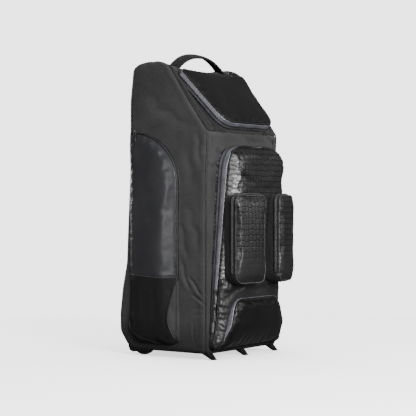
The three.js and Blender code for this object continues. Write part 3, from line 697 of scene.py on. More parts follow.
def body_grids():
    """The grids of points for all body panels."""
    rings = [ring(*row) for row in ROWS]
    z = ROWS[:, 0]
    half_corner = CORNER_COLS // 2

    def rows_of(part, keep=slice(None)):
        kept = [r[part][keep] for r in rings]
        return np.array([np.column_stack([k, np.full(len(k), h)]) for k, h in zip(kept, z)])

    side = np.concatenate(
        [
            rows_of("corner_front", slice(half_corner, None)),
            rows_of("side", slice(1, -1)),
            rows_of("corner_back", slice(0, half_corner + 1)),
        ],
        axis=1,
    )
    left_front = rows_of("corner_front", slice(0, half_corner + 1))
    mirror = np.array([-1, 1, 1])
    front = np.concatenate(
        [left_front[:, ::-1] * mirror, rows_of("front", slice(1, -1)), left_front], axis=1
    )
    back_corner = rows_of("corner_back", slice(half_corner, None))
    back = np.concatenate(
        [back_corner, rows_of("back", slice(1, -1)), back_corner[:, ::-1] * mirror], axis=1
    )
    mouth_row = int(np.argmin(np.abs(z - MOUTH)))
    shoulder_row = int(np.argmin(np.abs(z - (HINGE - 46))))
    wide = np.linspace(0, 1, 9)[1:-1]
    front_even = even_columns(front)
    back_even = even_columns(back[:, ::-1])
    over = [front_even[-1] + (back_even[-1] - front_even[-1]) * w for w in wide]
    top = np.concatenate([front_even[mouth_row:], np.array(over), back_even[shoulder_row:][::-1]])
    base = np.array(
        [front_even[0] + (back_even[0] - front_even[0]) * w for w in np.linspace(0, 1, 40)]
    )

    def sag(grid):
        return hang(grid.reshape(-1, 3)).reshape(grid.shape)

    return {
        "side": sag(side),
        "front": sag(front[: mouth_row + 1].copy()),
        "back": sag(back[: shoulder_row + 1].copy()),
        "top": sag(top),
        "base": base,
    }


def even_columns(grid, count=112):
    """Each row of the grid again at the same shares of its length."""
    rows = []
    for row in grid:
        length = run_of(row)
        rows.append(rows_at(np.linspace(0, length[-1], count), length, row))
    return np.array(rows)


def build_body():
    grids = body_grids()
    mirror = np.array([-1, 1, 1])
    left = dress_panel(
        "side_cloth_left", grids["side"] * mirror, ["side_panel_left"], (-1, 0, 0), WOVEN,
        SIDE_FOLDS, 1, seed=1.0,
    )
    right = dress_panel(
        "side_cloth_right", grids["side"], ["side_panel_right"], (1, 0, 0), WOVEN,
        SIDE_FOLDS, 1, seed=2.0,
    )
    front = dress_panel(
        "front_cloth", grids["front"], ["front_panel"], (0, -1, 0), WOVEN, FRONT_FOLDS, 0, seed=3.0
    )
    dress_panel(
        "back_cloth", grids["back"], ["back_panel"], (0, 1, 0), WOVEN, BACK_FOLDS, 0, 2.2, 4.0
    )
    top = dress_panel(
        "top_cloth", grids["top"], ["top_panel"], (0, -0.4, 1), TOP_CLOTH, FRONT_FOLDS, 0, 1.2, 5.0
    )
    dress_panel(
        "base_cloth", grids["base"], ["base_panel"], (0, 0, -1), WOVEN_FOOT, (), 0, 0.6, 6.0
    )
    face = surface_of(front, top)
    for sign, side in ((-1, "left"), (1, "right")):
        line = spline(SHOULDER_SEAM, 4.0) * np.array([-sign, 1])
        path = np.column_stack([line[:, 0], np.zeros(len(line)), line[:, 1]])
        path[:, 1] = np.maximum(0, (path[:, 2] - MOUTH) / math.tan(SLOPE)) - 20
        out = np.tile([0.0, -1.0, 0.0], (len(path), 1))
        laid = lay(face, path, out, 0.4)
        cord(f"shoulder_seam_{side}", laid, 1.2, DARK_PIPING)
        seam = grids["side"][:, 0] * np.array([sign, 1, 1])
        fell = resample(seam[6:] + np.array([sign * 20.0, SEAM_FELL, 0]), 5)
        outward = np.tile([float(sign), 0.0, 0.0], (len(fell), 1))
        laid = lay(surface_of(left if sign < 0 else right), fell, outward, 0.3)
        cord(f"corner_fell_{side}", laid, 1.1, DARK_PIPING)
        out = np.array([sign * 0.7, -0.7, 0.0])
        path = resample(seam + out * 1.2, 6)
        binding = [f"corner_binding_{side}"]
        cord(f"corner_piping_{side}", path, 2.3, DARK_PIPING, nodes=binding)
        for part, shift, lift in (
            ("side", (sign * 0.4, 9.0, 0), (sign, 0, 0)),
            ("front", (-sign * 9.0, 0.4, 0), (0, -1, 0)),
        ):
            line = resample(seam[6:-30] + np.array(shift) + out * 1.3, 4)
            lifts = np.tile(lift, (len(line), 1))
            stitches(f"corner_stitches_{part}_{side}", line, lifts)
        back_seam = grids["side"][:, -1] * np.array([sign, 1, 1])
        back_path = resample(back_seam + np.array([sign * 0.8, 0.8, 0]), 6)
        cord(f"back_piping_{side}", back_path, 2.2, DARK_PIPING)


# Planes that pouches are sewn on


class Plane:
    """A flat frame: u and v lie in it, and n stands out of it."""

    def __init__(self, origin, u, v):
        self.origin = np.asarray(origin, float)
        self.u = np.asarray(u, float)
        self.v = np.asarray(v, float)
        self.n = np.cross(self.u, self.v)

    def place(self, uv, height):
        uv = np.asarray(uv, float)
        height = np.broadcast_to(np.asarray(height, float), uv.shape[:1])
        return (
            self.origin
            + uv[:, :1] * self.u
            + uv[:, 1:2] * self.v
            + height[:, None] * self.n
        )

    def local(self, points):
        away = np.asarray(points, float) - self.origin
        return np.column_stack([away @ self.u, away @ self.v]), away @ self.n


def rounded(corners, step=3.0):
    """A closed outline through corners (u, v, radius), anticlockwise, evenly spaced."""
    count = len(corners)
    points = []
    for i in range(count):
        before, here, after = (np.array(corners[(i + k) % count][:2], float) for k in (-1, 0, 1))
        radius = corners[i][2]
        a = (before - here) / np.linalg.norm(before - here)
        b = (after - here) / np.linalg.norm(after - here)
        angle = math.acos(np.clip(a @ b, -1, 1))
        reach = radius / math.tan(angle / 2)
        start, end = here + a * reach, here + b * reach
        for t in np.linspace(0, 1, 12):
            points.append((1 - t) ** 2 * start + 2 * t * (1 - t) * here + t**2 * end)
    return resample(np.array(points), step, closed=True)


def out_of(outline):
    """The way out of an anticlockwise outline at each of its points."""
    along = directions(outline, closed=True)
    return np.column_stack([along[:, 1], -along[:, 0]])


def offset(outline, distance):
    return outline + out_of(outline) * distance


def even_scale(uv):
    return np.ones(len(uv))


class Pouch:
    """A raised form over an outline: walls, a rounded edge and a crowned face."""

    def __init__(self, plane, outline, foot, depth, edge, crown, scale=None):
        self.plane, self.outline = plane, outline
        self.foot, self.depth, self.edge, self.crown = foot, depth, edge, crown
        self.scale = scale or even_scale
        self.middle = offset(outline, -edge).mean(axis=0)

    def level(self, inset, height):
        """The form's points all round it, at an inset from its outline and a height."""
        uv = offset(self.outline, -inset)
        h = height * self.scale(uv) if height > 0 else np.full(len(uv), float(height))
        return self.plane.place(uv, h)

    def face_ring(self, share):
        uv = self.middle + (offset(self.outline, -self.edge) - self.middle) * share
        swell = self.depth + self.crown * (1 - share**2)
        return self.plane.place(uv, swell * self.scale(uv))

    def rows(self):
        wall = np.linspace(self.foot, self.depth - self.edge, 12)
        rings = [self.level(0, h) for h in wall]
        for angle in np.linspace(0, math.pi / 2, 7)[1:]:
            inset = self.edge * (1 - math.cos(angle))
            rings.append(self.level(inset, self.depth - self.edge * (1 - math.sin(angle))))
        for share in np.linspace(1, 0.03, 44)[1:]:
            rings.append(self.face_ring(share))
        return rings

    def sides(self):
        """The way out of the form's walls, all round it."""
        away = out_of(self.outline)
        return away[:, :1] * self.plane.u + away[:, 1:2] * self.plane.v

    def mesh(self, name, material):
        """The whole form as one closed mesh."""
        rings = self.rows()
        faces = capped_faces(len(rings), len(self.outline))
        return make_mesh(name, np.concatenate(rings), faces, material)


CLOTH_FRAMES = 20
CLOTH_MASS, STRETCH_STIFFNESS, SQUEEZE_STIFFNESS, BEND_STIFFNESS = 0.3, 12, 8, 1.2


def inflate(made, plane, voxel, pressure, slack, cap, held_below):
    """Blows a closed form up a little as cloth, held along its sewn edge."""
    remesh = made.modifiers.new("remesh", "REMESH")
    remesh.mode = "VOXEL"
    remesh.voxel_size = voxel * MM
    apply_modifiers(made)
    rest = read_points(made)
    held = made.vertex_groups.new(name="held")
    _, height = plane.local(rest)
    for i in np.nonzero(height < held_below)[0]:
        held.add([int(i)], 1.0, "REPLACE")
    cloth = made.modifiers.new("cloth", "CLOTH")
    cloth.settings.quality = 5
    cloth.settings.mass = CLOTH_MASS
    cloth.settings.tension_stiffness = STRETCH_STIFFNESS
    cloth.settings.compression_stiffness = SQUEEZE_STIFFNESS
    cloth.settings.bending_stiffness = BEND_STIFFNESS
    cloth.settings.use_pressure = True
    cloth.settings.uniform_pressure_force = pressure
    cloth.settings.shrink_min = -slack
    cloth.settings.vertex_group_mass = "held"
    cloth.settings.effector_weights.gravity = 0
    cloth.collision_settings.use_collision = False
    scene = bpy.context.scene
    for step in range(1, CLOTH_FRAMES + 1):
        scene.frame_set(step)
    graph = bpy.context.evaluated_depsgraph_get()
    moved = read_points(made.evaluated_get(graph))
    made.modifiers.remove(cloth)
    scene.frame_set(1)
    change = moved - rest
    length = np.linalg.norm(change, axis=1, keepdims=True)
    change *= np.minimum(1, cap / np.maximum(length, 1e-9))
    write_points(made, rest + np.nan_to_num(change))
    relax(made, 2)
    return made


def read_points(made):
    points = read_values(made.data.vertices, "co", 3) / MM
    points[:, 1] -= FRONT
    return points


def write_points(made, points):
    placed = points.copy()
    placed[:, 1] += FRONT
    made.data.vertices.foreach_set("co", (placed * MM).ravel())
    made.data.update()


def read_normals(made):
    return read_values(made.data.vertices, "normal", 3)


def apply_modifiers(made):
    graph = bpy.context.evaluated_depsgraph_get()
    new = bpy.data.meshes.new_from_object(made.evaluated_get(graph))
    old = made.data
    made.modifiers.clear()
    made.data = new
    bpy.data.meshes.remove(old)
    new.polygons.foreach_set("use_smooth", [True] * len(new.polygons))


def relax(made, times):
    """Moves each point towards its neighbours' middle."""
    points = read_points(made)
    edges = read_values(made.data.edges, "vertices", 2, np.int32)
    count = np.bincount(edges.ravel(), minlength=len(points))[:, None]
    for _ in range(times):
        total = np.zeros_like(points)
        np.add.at(total, edges[:, 0], points[edges[:, 1]])
        np.add.at(total, edges[:, 1], points[edges[:, 0]])
        points = points * 0.5 + 0.5 * total / np.maximum(count, 1)
    write_points(made, points)


def subdivide(made):
    smooth = made.modifiers.new("smooth", "SUBSURF")
    smooth.levels = smooth.render_levels = 1
    apply_modifiers(made)


# A face turned less than this towards the pouch's front is part of its wall
WALL_FACING = 0.45


def dress_pouch(made, pouch, face_material, wall_material, strip=None):
    """Gives a pouch's mesh its two materials and a flat map of its cloth."""
    data = made.data
    data.materials.clear()
    data.materials.append(face_material)
    data.materials.append(wall_material)
    centre = read_values(data.polygons, "center", 3) / MM
    centre[:, 1] -= FRONT
    wall = read_values(data.polygons, "normal", 3) @ pouch.plane.n < WALL_FACING
    slots = wall.astype(np.int32)
    # The strip gets the ruffle's cloth, which is painted lighter as a highlight.
    if strip is not None:
        data.materials.append(RUFFLE_PAINTED_LIGHT)
        slots[strip(pouch.plane.local(centre)[0])] = 2
    data.polygons.foreach_set("material_index", slots)
    uv, height = pouch.plane.local(read_points(made))
    loops = read_values(data.loops, "vertex_index", kind=np.int32)
    on_wall = np.repeat(wall, read_values(data.polygons, "loop_total", kind=np.int32))
    flat = uv[loops]
    flat[on_wall, 0] = height[loops][on_wall] + flat[on_wall, 0] * 0.3
    layer = data.uv_layers.new(name="cloth")
    layer.data.foreach_set("uv", (flat * MM).ravel())
    data.polygons.foreach_set("use_smooth", [True] * len(data.polygons))
    data.update()


def surface_of(*parts):
    """A search tree over some pieces, in the bag's directions."""
    points, faces = [], []
    for part in parts:
        first = len(points)
        points += read_points(part).tolist()
        faces += [[first + i for i in face.vertices] for face in part.data.polygons]
    return BVHTree.FromPolygons([Vector(p) for p in points], faces)


def even_out(path, closed, times=2):
    """Smooths a path. The ends of an open one stay."""
    for _ in range(times):
        before, after = np.roll(path, 1, axis=0), np.roll(path, -1, axis=0)
        smooth = 0.25 * before + 0.5 * path + 0.25 * after
        if not closed:
            smooth[0], smooth[-1] = path[0], path[-1]
        path = smooth
    return path


def lay(tree, path, outward, lift, closed=False, reach=60.0):
    """Drops a path on a surface from outside it, and lifts it a little off."""
    laid = []
    for point, out in zip(path, outward):
        hit = tree.ray_cast(Vector(point + out * reach), Vector(-out))[0]
        if hit is None:
            hit = tree.find_nearest(Vector(point))[0]
        laid.append(np.array(hit) + out * lift)
    return even_out(np.array(laid), closed)


def spline(corners, step=4.0):
    """A smooth curve through a few points."""
    p = np.asarray(corners, float)
    p = np.vstack([2 * p[0] - p[1], p, 2 * p[-1] - p[-2]])
    t = np.linspace(0, 1, 16, endpoint=False)[:, None]
    parts = []
    for a, b, c, d in zip(p, p[1:], p[2:], p[3:]):
        cubic = (-a + 3 * b - 3 * c + d) * t**3 + (2 * a - 5 * b + 4 * c - d) * t**2
        parts.append(0.5 * (cubic + (c - a) * t + 2 * b))
    return resample(np.vstack(parts + [p[-2:-1]]), step)


def gather(made, pouch, depth, reach, size, seed, where=None):
    """Small puckers that run in from a pouch's sewn edges."""
    points = read_points(made)
    normals = read_normals(made)
    uv, height = pouch.plane.local(points)
    outline = pouch.outline
    gaps = np.linalg.norm(uv[:, None, :] - outline[None, :, :], axis=2)
    nearest = gaps.argmin(axis=1)
    near = gaps[np.arange(len(uv)), nearest]
    tall = pouch.depth * pouch.scale(uv)
    strength = np.exp(-np.maximum(0, near - pouch.edge * 0.6) / reach)
    strength *= smoothstep(height / tall, 0.2, 0.6)
    if where is not None:
        strength *= where(uv)
    along = nearest * np.linalg.norm(outline[1] - outline[0])
    lines = np.column_stack([along, near * 0.3, near * 0.0])
    lumps = bump_noise(lines, size, seed) + 0.6 * bump_noise(points, size * 0.7, seed + 2)
    write_points(made, points + normals * (depth * strength * lumps)[:, None])


def press_folds(made, pouch, table):
    """Presses a table's folds into a pouch, in its own plane."""
    points = read_points(made)
    normals = read_normals(made)
    uv, _ = pouch.plane.local(points)
    facing = smoothstep(normals @ pouch.plane.n, 0.2, 0.7)
    depth = fold_depths(table, uv[:, 0], uv[:, 1]) * facing
    write_points(made, points - normals * depth[:, None])


def puffed(name, pouch, material, blow, puckers, where=None):
    """A pouch's cloth. Blow and puckers are what inflate and gather need."""
    made = pouch.mesh(name, material)
    inflate(made, pouch.plane, *blow)
    subdivide(made)
    gather(made, pouch, *puckers, where)
    return made


def above(rise):
    """Picks the part of an outline over a height in its plane."""

    def keep(uv):
        return uv[:, 1] > rise

    return keep


def edge_ring(pouch, part=0.5):
    """The middle of a pouch's rounded edge, and the way out of it."""
    angle = part * math.pi / 2
    inset = pouch.edge * (1 - math.cos(angle))
    ring = pouch.level(inset, pouch.depth - pouch.edge * (1 - math.sin(angle)))
    out = pouch.sides() * math.cos(angle) + pouch.plane.n * math.sin(angle)
    return ring, out


def add_piping(name, made, pouch, radius, material, part=0.5, keep=None):
    ring, out = edge_ring(pouch, part)
    laid = lay(surface_of(made), ring, out, radius * 0.55, True)
    closed = keep is None
    if keep is not None:
        laid = longest_run(laid, keep(pouch.outline))
    return cord(name, laid, radius, material, closed)


def longest_run(points, keep):
    """The longest unbroken stretch of kept points round a closed ring."""
    keep = np.asarray(keep, bool)
    if keep.all():
        return points
    start = int(np.argmin(keep))
    order = np.r_[start : len(keep), 0:start]
    best, run = [], []
    for i in order:
        if keep[i]:
            run.append(i)
        else:
            run = []
        if len(run) > len(best):
            best = list(run)
    return points[best]


def add_zip(name, pouch, low, high, nodes, keep=None, lift=1.4, teeth=True, cloth=None):
    """A zip tape round a pouch's wall, with its coil and two rows of stitches."""
    kept = np.ones(len(pouch.outline), bool) if keep is None else keep(pouch.outline)
    closed = bool(kept.all())
    side = pouch.sides()
    levels = np.linspace(low, high, 9)
    rows = []
    for k, h in enumerate(levels):
        bow = lift * (0.5 + 0.5 * math.sin(math.pi * k / (len(levels) - 1)))
        ring = pouch.level(0, h)
        rows.append(longest_run(ring + side * bow, kept))
    sides = longest_run(side, kept)
    grid = np.array(rows)
    count = grid.shape[1]
    run = run_of(grid[0])
    uv = np.column_stack([np.tile(run, len(levels)), np.repeat(levels, count)])
    faces = grid_faces(len(levels), count, closed)
    band = make_mesh(name, grid.reshape(-1, 3), faces, cloth or ZIP_TAPE, uv=uv)
    settle(thicken(band, 1.2), nodes)
    middle = grid[len(levels) // 2]
    cord(f"{name}_coil", middle + sides * 0.4, 1.5, TEETH, closed)
    if teeth:
        across = np.tile(pouch.plane.n, (count, 1))
        settle(zip_teeth(f"{name}_teeth", middle + sides * 1.5, across, sides))
    for k, row in (("near", 1), ("far", len(levels) - 2)):
        line = grid[row] + sides * 0.2
        stitches(f"{name}_stitches_{k}", line, sides)
    return band


def zip_teeth(name, path, across, out, pitch=2.6, width=4.2):
    """The coil's turns, as small rounded bars across the zip."""
    steps = run_of(path)
    points, faces = [], []
    for at in np.arange(0, steps[-1], pitch):
        p, o, a = (rows_at(at, steps, line) for line in (path, out, across))
        t = np.cross(o, a)
        k = len(points)
        for s in (-1, 1):
            end = p + a * s * width / 2
            points += [end - t * 0.75, end + o * 0.9, end + t * 0.75]
        faces += [
            (k, k + 1, k + 4, k + 3),
            (k + 1, k + 2, k + 5, k + 4),
            (k, k + 2, k + 1),
            (k + 3, k + 4, k + 5),
        ]
    return make_mesh(name, points, faces, TEETH)


# Camera, light and floor


CAMERA_PLACE = (-3.6402, -2.5353, 0.467)
CAMERA_TURN = -55  # degrees about Z, as the photograph looks at the bag
PHOTO = 416  # pixels, the photograph's width and height
FOCUS = 1402  # pixels, from the lines that run back in the photograph
HORIZON = 205  # pixels, from the photograph's top


def add_camera():
    data = bpy.data.cameras.new("camera")
    data.sensor_width = 36
    data.lens = 36 * FOCUS / PHOTO
    data.shift_y = (HORIZON - PHOTO / 2) / PHOTO
    camera = bpy.data.objects.new("camera", data)
    camera.location = CAMERA_PLACE
    camera.rotation_euler = (math.radians(90), 0, math.radians(CAMERA_TURN))
    bpy.context.collection.objects.link(camera)
    bpy.context.scene.camera = camera


LIGHTS = [
    # name, place, aim, width and height, power
    ("key_light", (-1.6, -3.1, 1.4), (0, 0, 0.4), (1.2, 1.8), 275),
    ("left_light", (-3.5, 0.45, 0.8), (0, 0, 0.45), (0.3, 2.0), 34),
    ("right_light", (1.5, -2.8, 1.5), (0, 0, 0.4), (0.8, 1.3), 38),
    ("back_light", (1.5, 3.6, 1.6), (0, 0, 0.4), (2.0, 2.0), 110),
]
SKY_POWER, SKY_SPREAD = 4.6, math.radians(70)
BACKDROP_ON_BAG, BACKDROP_SEEN = 0.12, 3.25
FLOOR_RADIUS, FLOOR_GLOW = 1.7, 1.3


def soft_light(name, place, aim, size, power):
    light = bpy.data.lights.new(name, "AREA")
    light.shape = "RECTANGLE"
    light.size, light.size_y = size
    light.energy = power
    made = bpy.data.objects.new(name, light)
    made.location = place
    made.rotation_euler = (Vector(aim) - Vector(place)).to_track_quat("-Z", "Y").to_euler()
    bpy.context.collection.objects.link(made)


def add_lights():
    for light in LIGHTS:
        soft_light(*light)
    sun = bpy.data.lights.new("sky_light", "SUN")
    sun.energy = SKY_POWER
    sun.angle = SKY_SPREAD
    made = bpy.data.objects.new("sky_light", sun)
    made.location = (0, 0, 3)
    made.visible_glossy = False
    bpy.context.collection.objects.link(made)


def add_world():
    """A pale backdrop. It lights the bag less than it shows, as a studio's far wall does."""
    world = bpy.data.worlds.new("studio")
    world.use_nodes = True
    tree = world.node_tree
    back = tree.nodes["Background"]
    back.inputs["Color"].default_value = (1, 1, 1, 1)
    ray = tree.nodes.new("ShaderNodeLightPath")
    level = tree.nodes.new("ShaderNodeMapRange")
    level.inputs["To Min"].default_value = BACKDROP_ON_BAG
    level.inputs["To Max"].default_value = BACKDROP_SEEN
    tree.links.new(ray.outputs["Is Camera Ray"], level.inputs["Value"])
    tree.links.new(level.outputs[0], back.inputs["Strength"])
    bpy.context.scene.world = world


def add_floor():
    angles = np.linspace(0, 2 * math.pi, 96, endpoint=False)
    ring = [(FLOOR_RADIUS * math.cos(a), FLOOR_RADIUS * math.sin(a), 0) for a in angles]
    floor = bpy.data.meshes.new("floor")
    floor.from_pydata(ring, [], [list(range(len(ring)))])
    paint = Surface("floor_paint")
    paint.colour(paint.ramp(paint.noise(1.5, 2.0), [(0.3, grey(0.79)), (0.7, grey(0.81))]))
    paint.set(Roughness=0.95, Specular_IOR_Level=0.1)
    paint.set(Emission_Color=(1, 1, 1, 1), Emission_Strength=FLOOR_GLOW)
    floor.materials.append(paint.material)
    made = bpy.data.objects.new("floor", floor)
    made.visible_glossy = made.visible_diffuse = False
    bpy.context.collection.objects.link(made)


def build_stage():
    add_camera()
    add_lights()
    add_world()
    add_floor()


# Lid, its collar and its zip

LID_FOOT_SET, LID_LENGTH = 3, 222
LID_FOOT_WIDTH, LID_HEAD_WIDTH = 304, 330
COLLAR_FOOT, COLLAR_HEAD = 33, 3
LID_DRAW, LID_SPREAD, LID_CORNER = 15, 8, 56
LID_SKIRT, LID_CROWN = 15, 7
LID_RISE = math.atan2(COLLAR_FOOT - COLLAR_HEAD, LID_LENGTH)


def lid_plane():
    slant = Plane((0, 0, MOUTH), (1, 0, 0), (0, math.cos(SLOPE), math.sin(SLOPE)))
    origin = slant.place(np.array([[0.0, LID_FOOT_SET]]), COLLAR_FOOT)[0]
    turn = SLOPE - LID_RISE
    return Plane(origin, (1, 0, 0), (0, math.cos(turn), math.sin(turn)))


def build_lid():
    plane = lid_plane()
    length = LID_LENGTH / math.cos(LID_RISE)
    foot, head = LID_FOOT_WIDTH / 2 - LID_DRAW, LID_HEAD_WIDTH / 2 + LID_SPREAD
    corner = LID_CORNER
    outline = rounded(
        [(foot, 0, corner), (head, length, 18), (-head, length, 18), (-foot, 0, corner)]
    )
    lid = Pouch(plane, outline, -1, LID_SKIRT, 6, LID_CROWN)
    blow, puckers = (5, 3.5, 0.02, 5, 2.0), (0.7, 12, 9, 1.0)
    made = puffed("lid_panel", lid, LID_CLOTH, blow, puckers)
    press_folds(made, lid, [(-90, 60, -20, 150, 1.0, 22.0), (20, 40, 110, 90, 1.0, 20.0)])
    dress_pouch(made, lid, LID_CLOTH, ZIP_TAPE)
    settle(made, ["lid"])
    add_piping("lid_piping", made, lid, 2.0, DARK_PIPING, 0.6)

    def below_hinge(uv):
        return uv[:, 1] < length - 12

    add_zip("lid_zip_band", lid, -15.0, 10.0, ["lid_zip"], below_hinge, 2.6)
    collar_rows = []
    for h in np.linspace(-COLLAR_FOOT - 18, 0.5, 12):
        collar_rows.append(lid.level(0.5, 0) + plane.n * h)
    grid = np.array(collar_rows)
    points = grid.reshape(-1, 3)
    points += 0.6 * bump_noise(points, 16, 3.0)[:, None] * np.array([0.7, -0.7, 0.2])
    faces = grid_faces(len(grid), len(outline), True)
    collar = make_mesh("lid_collar_cloth", points, faces, WOVEN)
    settle(thicken(collar, PANEL_CLOTH), ["lid_collar"])
    ring = lid.level(0.5, 0) + plane.n * -2.0
    cord("collar_piping", ring + lid.sides(), 1.9, DARK_PIPING, True)
    for k, (along, lean) in enumerate(((0.66, 0.5), (0.86, 0.1))):
        root = plane.place(np.array([[head * along, length - 4.0]]), 4.0)[0]
        angles = np.linspace(0, 2 * math.pi, 30, endpoint=False)[:, None]
        tip = plane.v * math.cos(lean) + plane.u * math.sin(lean)
        loop = root + tip * (13 - 13 * np.cos(angles)) + plane.u * 6 * np.sin(angles)
        cord(f"lid_pull_{k}", loop, 2.4, DARK_PIPING, True)
        slider = Plane(root, plane.u, plane.v)
        body = rounded([(5, -7, 2), (4, 5, 2), (-4, 5, 2), (-5, -7, 2)], 0.8)
        slab(f"lid_slider_{k}", slider, body, 5.0, 0.9, METAL)


# Side pockets

SIDE_FRONT, SIDE_BACK = 92, BAG_DEPTH - 26
SIDE_RISE, SIDE_TOP, SIDE_SEAM = 40, 694, 248
SIDE_DEPTH, SIDE_EDGE, SIDE_POCKET_CROWN = 24, 12, 10
SIDE_CORNER = 30
SIDE_SWEEP = SIDE_BACK - SIDE_FRONT


def side_outline():
    """The side pocket's outline: u runs forward, so it is minus d."""
    shoulder, drop = 0.97 * SIDE_SWEEP, 0.8 * SIDE_SWEEP
    angles = np.linspace(0, math.pi / 2, 24)
    arch = [
        (-SIDE_FRONT - shoulder + shoulder * math.cos(a), SIDE_TOP - drop + drop * math.sin(a))
        for a in angles
    ]
    foot = [
        (
            -SIDE_FRONT - SIDE_CORNER + SIDE_CORNER * math.sin(a),
            SIDE_RISE + SIDE_CORNER - SIDE_CORNER * math.cos(a),
        )
        for a in angles[::3]
    ]
    back = [
        (-SIDE_BACK, SIDE_TOP),
        (-SIDE_BACK, 2 * SIDE_RISE),
        (-SIDE_BACK + SIDE_RISE, SIDE_RISE),
    ]
    return resample(np.array(foot + arch + back), 3.0, closed=True)


def side_scale(uv):
    return 0.42 + 0.58 * smoothstep(uv[:, 0], -SIDE_BACK, -SIDE_BACK + 2 * SIDE_FRONT)


def split_at(made, height, name, material):
    """Cuts a mesh's faces below a height off into a new object."""
    below = read_values(made.data.polygons, "center", 3)[:, 2] / MM < height
    other = bpy.data.objects.new(name, made.data.copy())
    bpy.context.collection.objects.link(other)
    for target, drop in ((made, below), (other, ~below)):
        delete_faces(target, drop)
    other.data.materials.clear()
    other.data.materials.append(material)
    other.data.polygons.foreach_set("material_index", [0] * len(other.data.polygons))
    return other


def delete_faces(made, drop):
    bm = bmesh.new()
    bm.from_mesh(made.data)
    bm.faces.ensure_lookup_table()
    bmesh.ops.delete(bm, geom=[f for f, d in zip(bm.faces, drop) if d], context="FACES")
    bm.to_mesh(made.data)
    bm.free()


def ripple(made, plane, wave, depth, low, high, seed):
    """Upright ripples in thin cloth between two heights."""
    points = read_points(made)
    normals = read_normals(made)
    d = points[:, 1]
    soft = bump_noise(np.column_stack([d * 0, d, points[:, 2] * 0.18]), wave, seed)
    band = smoothstep(points[:, 2], low, low + 40) * (1 - smoothstep(points[:, 2], high - 12, high))
    facing = smoothstep(normals @ plane.n, 0.3, 0.8)
    write_points(made, points + normals * (depth * soft * band * facing)[:, None])


# Lines on the side, as distance back and height
CRESCENT = [(99, 236), (113, 186), (122, 140), (122, 112), (110, 79), (93, 46)]
CRESCENT_EDGE = [(92, 236), (91, 140), (90, 46)]
GUARD_EDGE = [(306, 130), (290, 121), (276, 80), (232, 58), (186, 48), (138, 32)]
GUARD_FOOT = [(322, 112), (316, 80), (298, 46), (250, 26), (192, 23), (138, 23)]
GUSSET_SEAM = [(84, 573), (84, 391), (80, 239), (69, 119), (58, 43)]


def on_side(line, step=4.0):
    """A line on the bag's left, off the side by more than any pocket is deep."""
    flat = spline(line, step)
    path = np.column_stack([np.full(len(flat), -HALF - 30.0), flat])
    return path, np.tile([-1.0, 0.0, 0.0], (len(flat), 1))


def add_seam(name, tree, line, radius, material, lift=0.3):
    path, out = on_side(line)
    return cord(name, lay(tree, path, out, lift), radius, material)


def add_patch(name, tree, first, second, material, lift=0.9, rows=18):
    """A sheet sewn on the side between two lines."""
    (a, out), (b, _) = on_side(first, 3.0), on_side(second, 3.0)
    share = np.linspace(0, 1, len(b))
    fit = np.linspace(0, 1, len(a))
    b = rows_at(fit, share, b)
    grid = [lay(tree, a + (b - a) * t, out, lift) for t in np.linspace(0, 1, rows)]
    points = np.array(grid).reshape(-1, 3)
    made = make_mesh(name, points, grid_faces(rows, len(a)), material, uv=points[:, 1:])
    return settle(thicken(made, 1.0))


def build_side_pocket(sign, side):
    plane = Plane((-HALF, 0, 0), (0, -1, 0), (0, 0, 1))
    outline = side_outline()
    form = Pouch(plane, outline, -8, SIDE_DEPTH, SIDE_EDGE, SIDE_POCKET_CROWN, side_scale)
    before = set(bpy.data.objects)
    blow, puckers = (5, 3.0, 0.012, 4, 3.0), (0.5, 10, 12, 4.0)
    made = puffed(f"side_pocket_cloth_{side}", form, COATED, blow, puckers)
    ripple(made, plane, 16, 1.4, 80, SIDE_SEAM - 30, 2.0)
    seam_groove(made, plane, SIDE_SEAM, 1.4)
    dress_pouch(made, form, COATED, WOVEN)
    foot = split_at(made, SIDE_SEAM, f"side_foot_cloth_{side}", WOVEN_FOOT)
    settle(made, [f"side_pocket_{side}"])
    settle(foot, [f"side_pocket_foot_{side}"])
    pocket = surface_of(made, foot)
    wall = surface_of(made, foot, bpy.data.objects["side_cloth_left"])
    ring, out = edge_ring(form, 0.45)
    keep = (outline[:, 1] > 60) & (outline[:, 0] > -SIDE_BACK + 6)
    laid = longest_run(lay(pocket, ring, out, 1.0, True), keep)
    cord(f"side_piping_{side}", laid, 1.8, DARK_PIPING)
    cross = [(SIDE_FRONT + 5, SIDE_SEAM), (160, SIDE_SEAM - 3), (SIDE_BACK - 5, SIDE_SEAM + 3)]
    add_seam(f"side_cross_seam_{side}", pocket, cross, 1.3, PIPING, 0.5)

    def over_seam(uv):
        return (uv[:, 1] > SIDE_SEAM + 2) & (uv[:, 0] > -SIDE_BACK + 40)

    add_zip(
        f"side_zip_band_{side}", form, 3.0, 13.0, [f"side_zip_{side}"], over_seam, 1.8,
        cloth=DARK_ZIP,
    )
    add_patch(f"side_crescent_{side}", wall, CRESCENT, CRESCENT_EDGE, WOVEN)
    add_seam(f"side_crescent_seam_{side}", wall, CRESCENT, 1.5, DARK_PIPING, 0.9)
    add_patch(f"wheel_guard_{side}", wall, GUARD_EDGE, GUARD_FOOT, WOVEN_FOOT, 1.2)
    add_seam(f"wheel_guard_seam_{side}", wall, GUARD_EDGE, 1.1, DARK_PIPING, 1.2)
    add_seam(f"gusset_seam_{side}", wall, GUSSET_SEAM, 0.9, DARK_PIPING, 0.2)
    if sign > 0:
        mirror_new(before)


def mirror_new(before):
    """Moves the pieces made since before from the bag's left to its right."""
    for made in set(bpy.data.objects) - before:
        points = read_values(made.data.vertices, "co", 3)
        points[:, 0] *= -1
        made.data.vertices.foreach_set("co", points.ravel())
        made.data.flip_normals()
        made.data.update()


def seam_groove(made, plane, height, depth):
    points = read_points(made)
    normals = read_normals(made)
    near = np.exp(-(((points[:, 2] - height) / 4.0) ** 2))
    facing = smoothstep(normals @ plane.n, 0.2, 0.6)
    write_points(made, points - normals * (depth * near * facing)[:, None])


# Front pocket, lower pocket and pods

